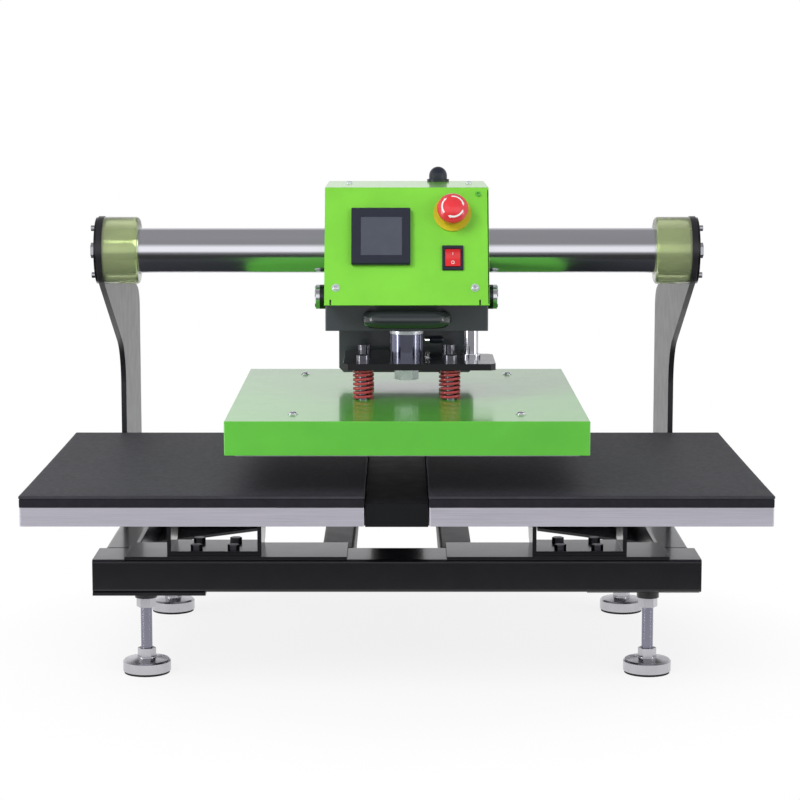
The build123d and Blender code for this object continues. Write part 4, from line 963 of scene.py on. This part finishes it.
def coupler_collar():
    """Bright locking collar round the top of the coupler."""
    low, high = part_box("ram_coupler")
    x, y, z = middle("ram_coupler")
    radius = (high.x - low.x) / 2 + COLLAR_PROUD
    inner = radius - COLLAR_WALL
    rings = [
        (round_outline, inner, 0.0),
        (round_outline, radius - COLLAR_EDGE, 0.0),
        (round_outline, radius, COLLAR_EDGE),
        (round_outline, radius, COLLAR_HEIGHT - COLLAR_EDGE),
        (round_outline, radius - COLLAR_EDGE, COLLAR_HEIGHT),
        (round_outline, inner, COLLAR_HEIGHT),
    ]
    ring = turned(rings, seat((x, y, high.z - COLLAR_HEIGHT), Z_AXIS), 48, closed=True)
    add("coupler_collar", [ring], PALE_STEEL, "ram")


def foot_threads():
    """Threads on the visible part of each levelling stud."""
    low = STUD_NUT_TOP
    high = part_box("foot_lock_nuts")[0].z + STUD_IN_NUT
    per_turn = 24
    rows = int((high - low) / THREAD_PITCH * 4)
    for node in FEET:
        centre = middle(node)
        loops = []
        for i in range(rows + 1):
            z = low + (high - low) * i / rows
            loop = []
            for j in range(per_turn):
                angle = 2 * math.pi * j / per_turn
                phase = (z / THREAD_PITCH - j / per_turn) % 1.0
                depth = abs(phase - 0.5) * 2
                r = STUD_DIA / 2 + THREAD_PROUD + THREAD_DEPTH * (0.5 - depth) * 0.5
                loop.append((centre.x + r * math.cos(angle), centre.y + r * math.sin(angle), z))
            loops.append(loop)
        add(f"{node}_thread", [lofted(loops)], STUD_STEEL, node, 50)


# Studio

def world():
    """Even light for matt surfaces; what gloss shows is a lit front wall and a pale backdrop."""
    scene_world = bpy.data.worlds.new("studio")
    bpy.context.scene.world = scene_world
    scene_world.use_nodes = True
    tree = scene_world.node_tree
    tree.nodes.clear()
    link = tree.links.new
    direction = tree.nodes.new("ShaderNodeTexCoord").outputs["Generated"]
    split = tree.nodes.new("ShaderNodeSeparateXYZ")
    link(direction, split.inputs["Vector"])

    def by_height(stops):
        """Grey level by the direction's height, from -1 straight down to 1 straight up."""
        scaled = tree.nodes.new("ShaderNodeMapRange")
        scaled.inputs["From Min"].default_value = -1
        link(split.outputs["Z"], scaled.inputs["Value"])
        ramp = tree.nodes.new("ShaderNodeValToRGB")
        elements = ramp.color_ramp.elements
        while len(elements) < len(stops):
            elements.new(0.5)
        for element, (height, level) in zip(elements, stops):
            element.position = (height + 1) / 2
            element.color = (level, level, level * 1.02, 1)
        link(scaled.outputs["Result"], ramp.inputs["Fac"])
        return ramp.outputs["Color"]

    def between(value, low, high, first, second):
        """Fade from one level to another as a direction's part goes from low to high."""
        fade = tree.nodes.new("ShaderNodeMapRange")
        fade.inputs["From Min"].default_value = low
        fade.inputs["From Max"].default_value = high
        link(value, fade.inputs["Value"])
        mixed = tree.nodes.new("ShaderNodeMix")
        mixed.data_type = "RGBA"
        link(fade.outputs["Result"], mixed.inputs["Factor"])
        link(first, mixed.inputs["A"])
        link(second, mixed.inputs["B"])
        return mixed.outputs["Result"]

    ahead = by_height(SEEN_AHEAD)
    left_rear = by_height(SEEN_LEFT_REAR)
    right_rear = by_height(SEEN_RIGHT_REAR)
    beside = by_height(SEEN_BESIDE)
    behind = between(split.outputs["X"], -0.15, 0.15, left_rear, right_rear)
    around = between(split.outputs["Y"], -0.25, 0.25, ahead, behind)
    sideways = tree.nodes.new("ShaderNodeMath")
    sideways.operation = "ABSOLUTE"
    link(split.outputs["X"], sideways.inputs[0])
    around = between(sideways.outputs["Value"], 0.72, 0.86, around, beside)

    rays = tree.nodes.new("ShaderNodeLightPath")
    reflections = tree.nodes.new("ShaderNodeMath")
    reflections.operation = "MAXIMUM"
    link(rays.outputs["Is Glossy Ray"], reflections.inputs[0])
    link(rays.outputs["Is Transmission Ray"], reflections.inputs[1])
    even = tree.nodes.new("ShaderNodeBackground")
    even.inputs["Color"].default_value = (0.97, 0.98, 1.0, 1)
    even.inputs["Strength"].default_value = 0.5
    studio = tree.nodes.new("ShaderNodeBackground")
    link(around, studio.inputs["Color"])
    backdrop = tree.nodes.new("ShaderNodeBackground")
    backdrop.inputs["Color"].default_value = (1, 1, 1, 1)
    first = tree.nodes.new("ShaderNodeMixShader")
    link(reflections.outputs["Value"], first.inputs["Fac"])
    link(even.outputs["Background"], first.inputs[1])
    link(studio.outputs["Background"], first.inputs[2])
    second = tree.nodes.new("ShaderNodeMixShader")
    link(rays.outputs["Is Camera Ray"], second.inputs["Fac"])
    link(first.outputs["Shader"], second.inputs[1])
    link(backdrop.outputs["Background"], second.inputs[2])
    output = tree.nodes.new("ShaderNodeOutputWorld")
    link(second.outputs["Shader"], output.inputs["Surface"])


def soft_light(name, place, target, size, power, shows):
    """Rectangular lamp aimed at a point; gloss shows it only where asked."""
    lamp = bpy.data.lights.new(name, "AREA")
    lamp.shape = "RECTANGLE"
    lamp.size, lamp.size_y = size
    lamp.energy = power
    made = bpy.data.objects.new(name, lamp)
    made.location = place
    made.rotation_euler = (Vector(target) - Vector(place)).to_track_quat("-Z", "Y").to_euler()
    made.visible_glossy = shows
    bpy.context.scene.collection.objects.link(made)


def seen_rays(tree):
    """One for what the camera, metal and glass see, zero for light that scatters."""
    rays = tree.nodes.new("ShaderNodeLightPath")
    total = None
    for kind in ("Is Camera Ray", "Is Glossy Ray", "Is Transmission Ray"):
        if total is None:
            total = rays.outputs[kind]
            continue
        either = tree.nodes.new("ShaderNodeMath")
        either.operation = "MAXIMUM"
        tree.links.new(total, either.inputs[0])
        tree.links.new(rays.outputs[kind], either.inputs[1])
        total = either.outputs["Value"]
    return total


def floor_paint():
    """White floor that keeps a soft shadow near the press and none further out."""
    paint = Finish("floor_paint", (246, 246, 246), 0.0, 0.9, Specular_IOR_Level=0.0)
    tree = paint.tree
    reach = tree.nodes.new("ShaderNodeVectorMath")
    reach.operation = "LENGTH"
    paint.link(paint.coordinates, reach.inputs[0])
    white_share = paint.span(reach.outputs["Value"], *FLOOR_WHITE, *FLOOR_WHITE_REACH)
    share = tree.nodes.new("ShaderNodeMath")
    share.operation = "MULTIPLY"
    paint.link(white_share, share.inputs[0])
    paint.link(seen_rays(tree), share.inputs[1])
    white = tree.nodes.new("ShaderNodeEmission")
    mix = tree.nodes.new("ShaderNodeMixShader")
    paint.link(share.outputs["Value"], mix.inputs["Fac"])
    paint.link(paint.shader.outputs["BSDF"], mix.inputs[1])
    paint.link(white.outputs["Emission"], mix.inputs[2])
    paint.link(mix.outputs["Shader"], tree.nodes["Material Output"].inputs["Surface"])
    return paint.material


def floor():
    """Pale floor under the press."""
    side = FLOOR_HALF_WIDTH
    front = [(-side, FLOOR_FRONT, 0), (side, FLOOR_FRONT, 0)]
    back = [(side, FLOOR_BACK, 0), (-side, FLOOR_BACK, 0)]
    made = piece("floor", front + back, [(0, 1, 2, 3)], floor_paint())


def camera():
    """The photograph's camera, level across and tilted down."""
    lens = bpy.data.cameras.new("camera")
    lens.lens = CAMERA_LENS
    lens.sensor_width = 36
    lens.clip_end = 50
    made = bpy.data.objects.new("camera", lens)
    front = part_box("lower_platens")[0].y
    made.location = (CAMERA_X, front - CAMERA_DISTANCE, CAMERA_HEIGHT)
    made.rotation_euler = (math.pi / 2 - CAMERA_PITCH, 0, 0)
    bpy.context.scene.collection.objects.link(made)
    bpy.context.scene.camera = made


finish_nodes()
stop_head()
stop_arrows()
rocker_marks()
panel_screws()
panel_slits_and_shade_strip()
box_screws()
air_fitting()
bumpers()
end_cap_screws()
pads()
springs()
cover_screws()
coupler_collar()
foot_threads()
camera()
world()
floor()
for lamp_name, lamp_values in LAMPS.items():
    soft_light(lamp_name, *lamp_values)
bpy.context.scene.view_settings.view_transform = "Standard"
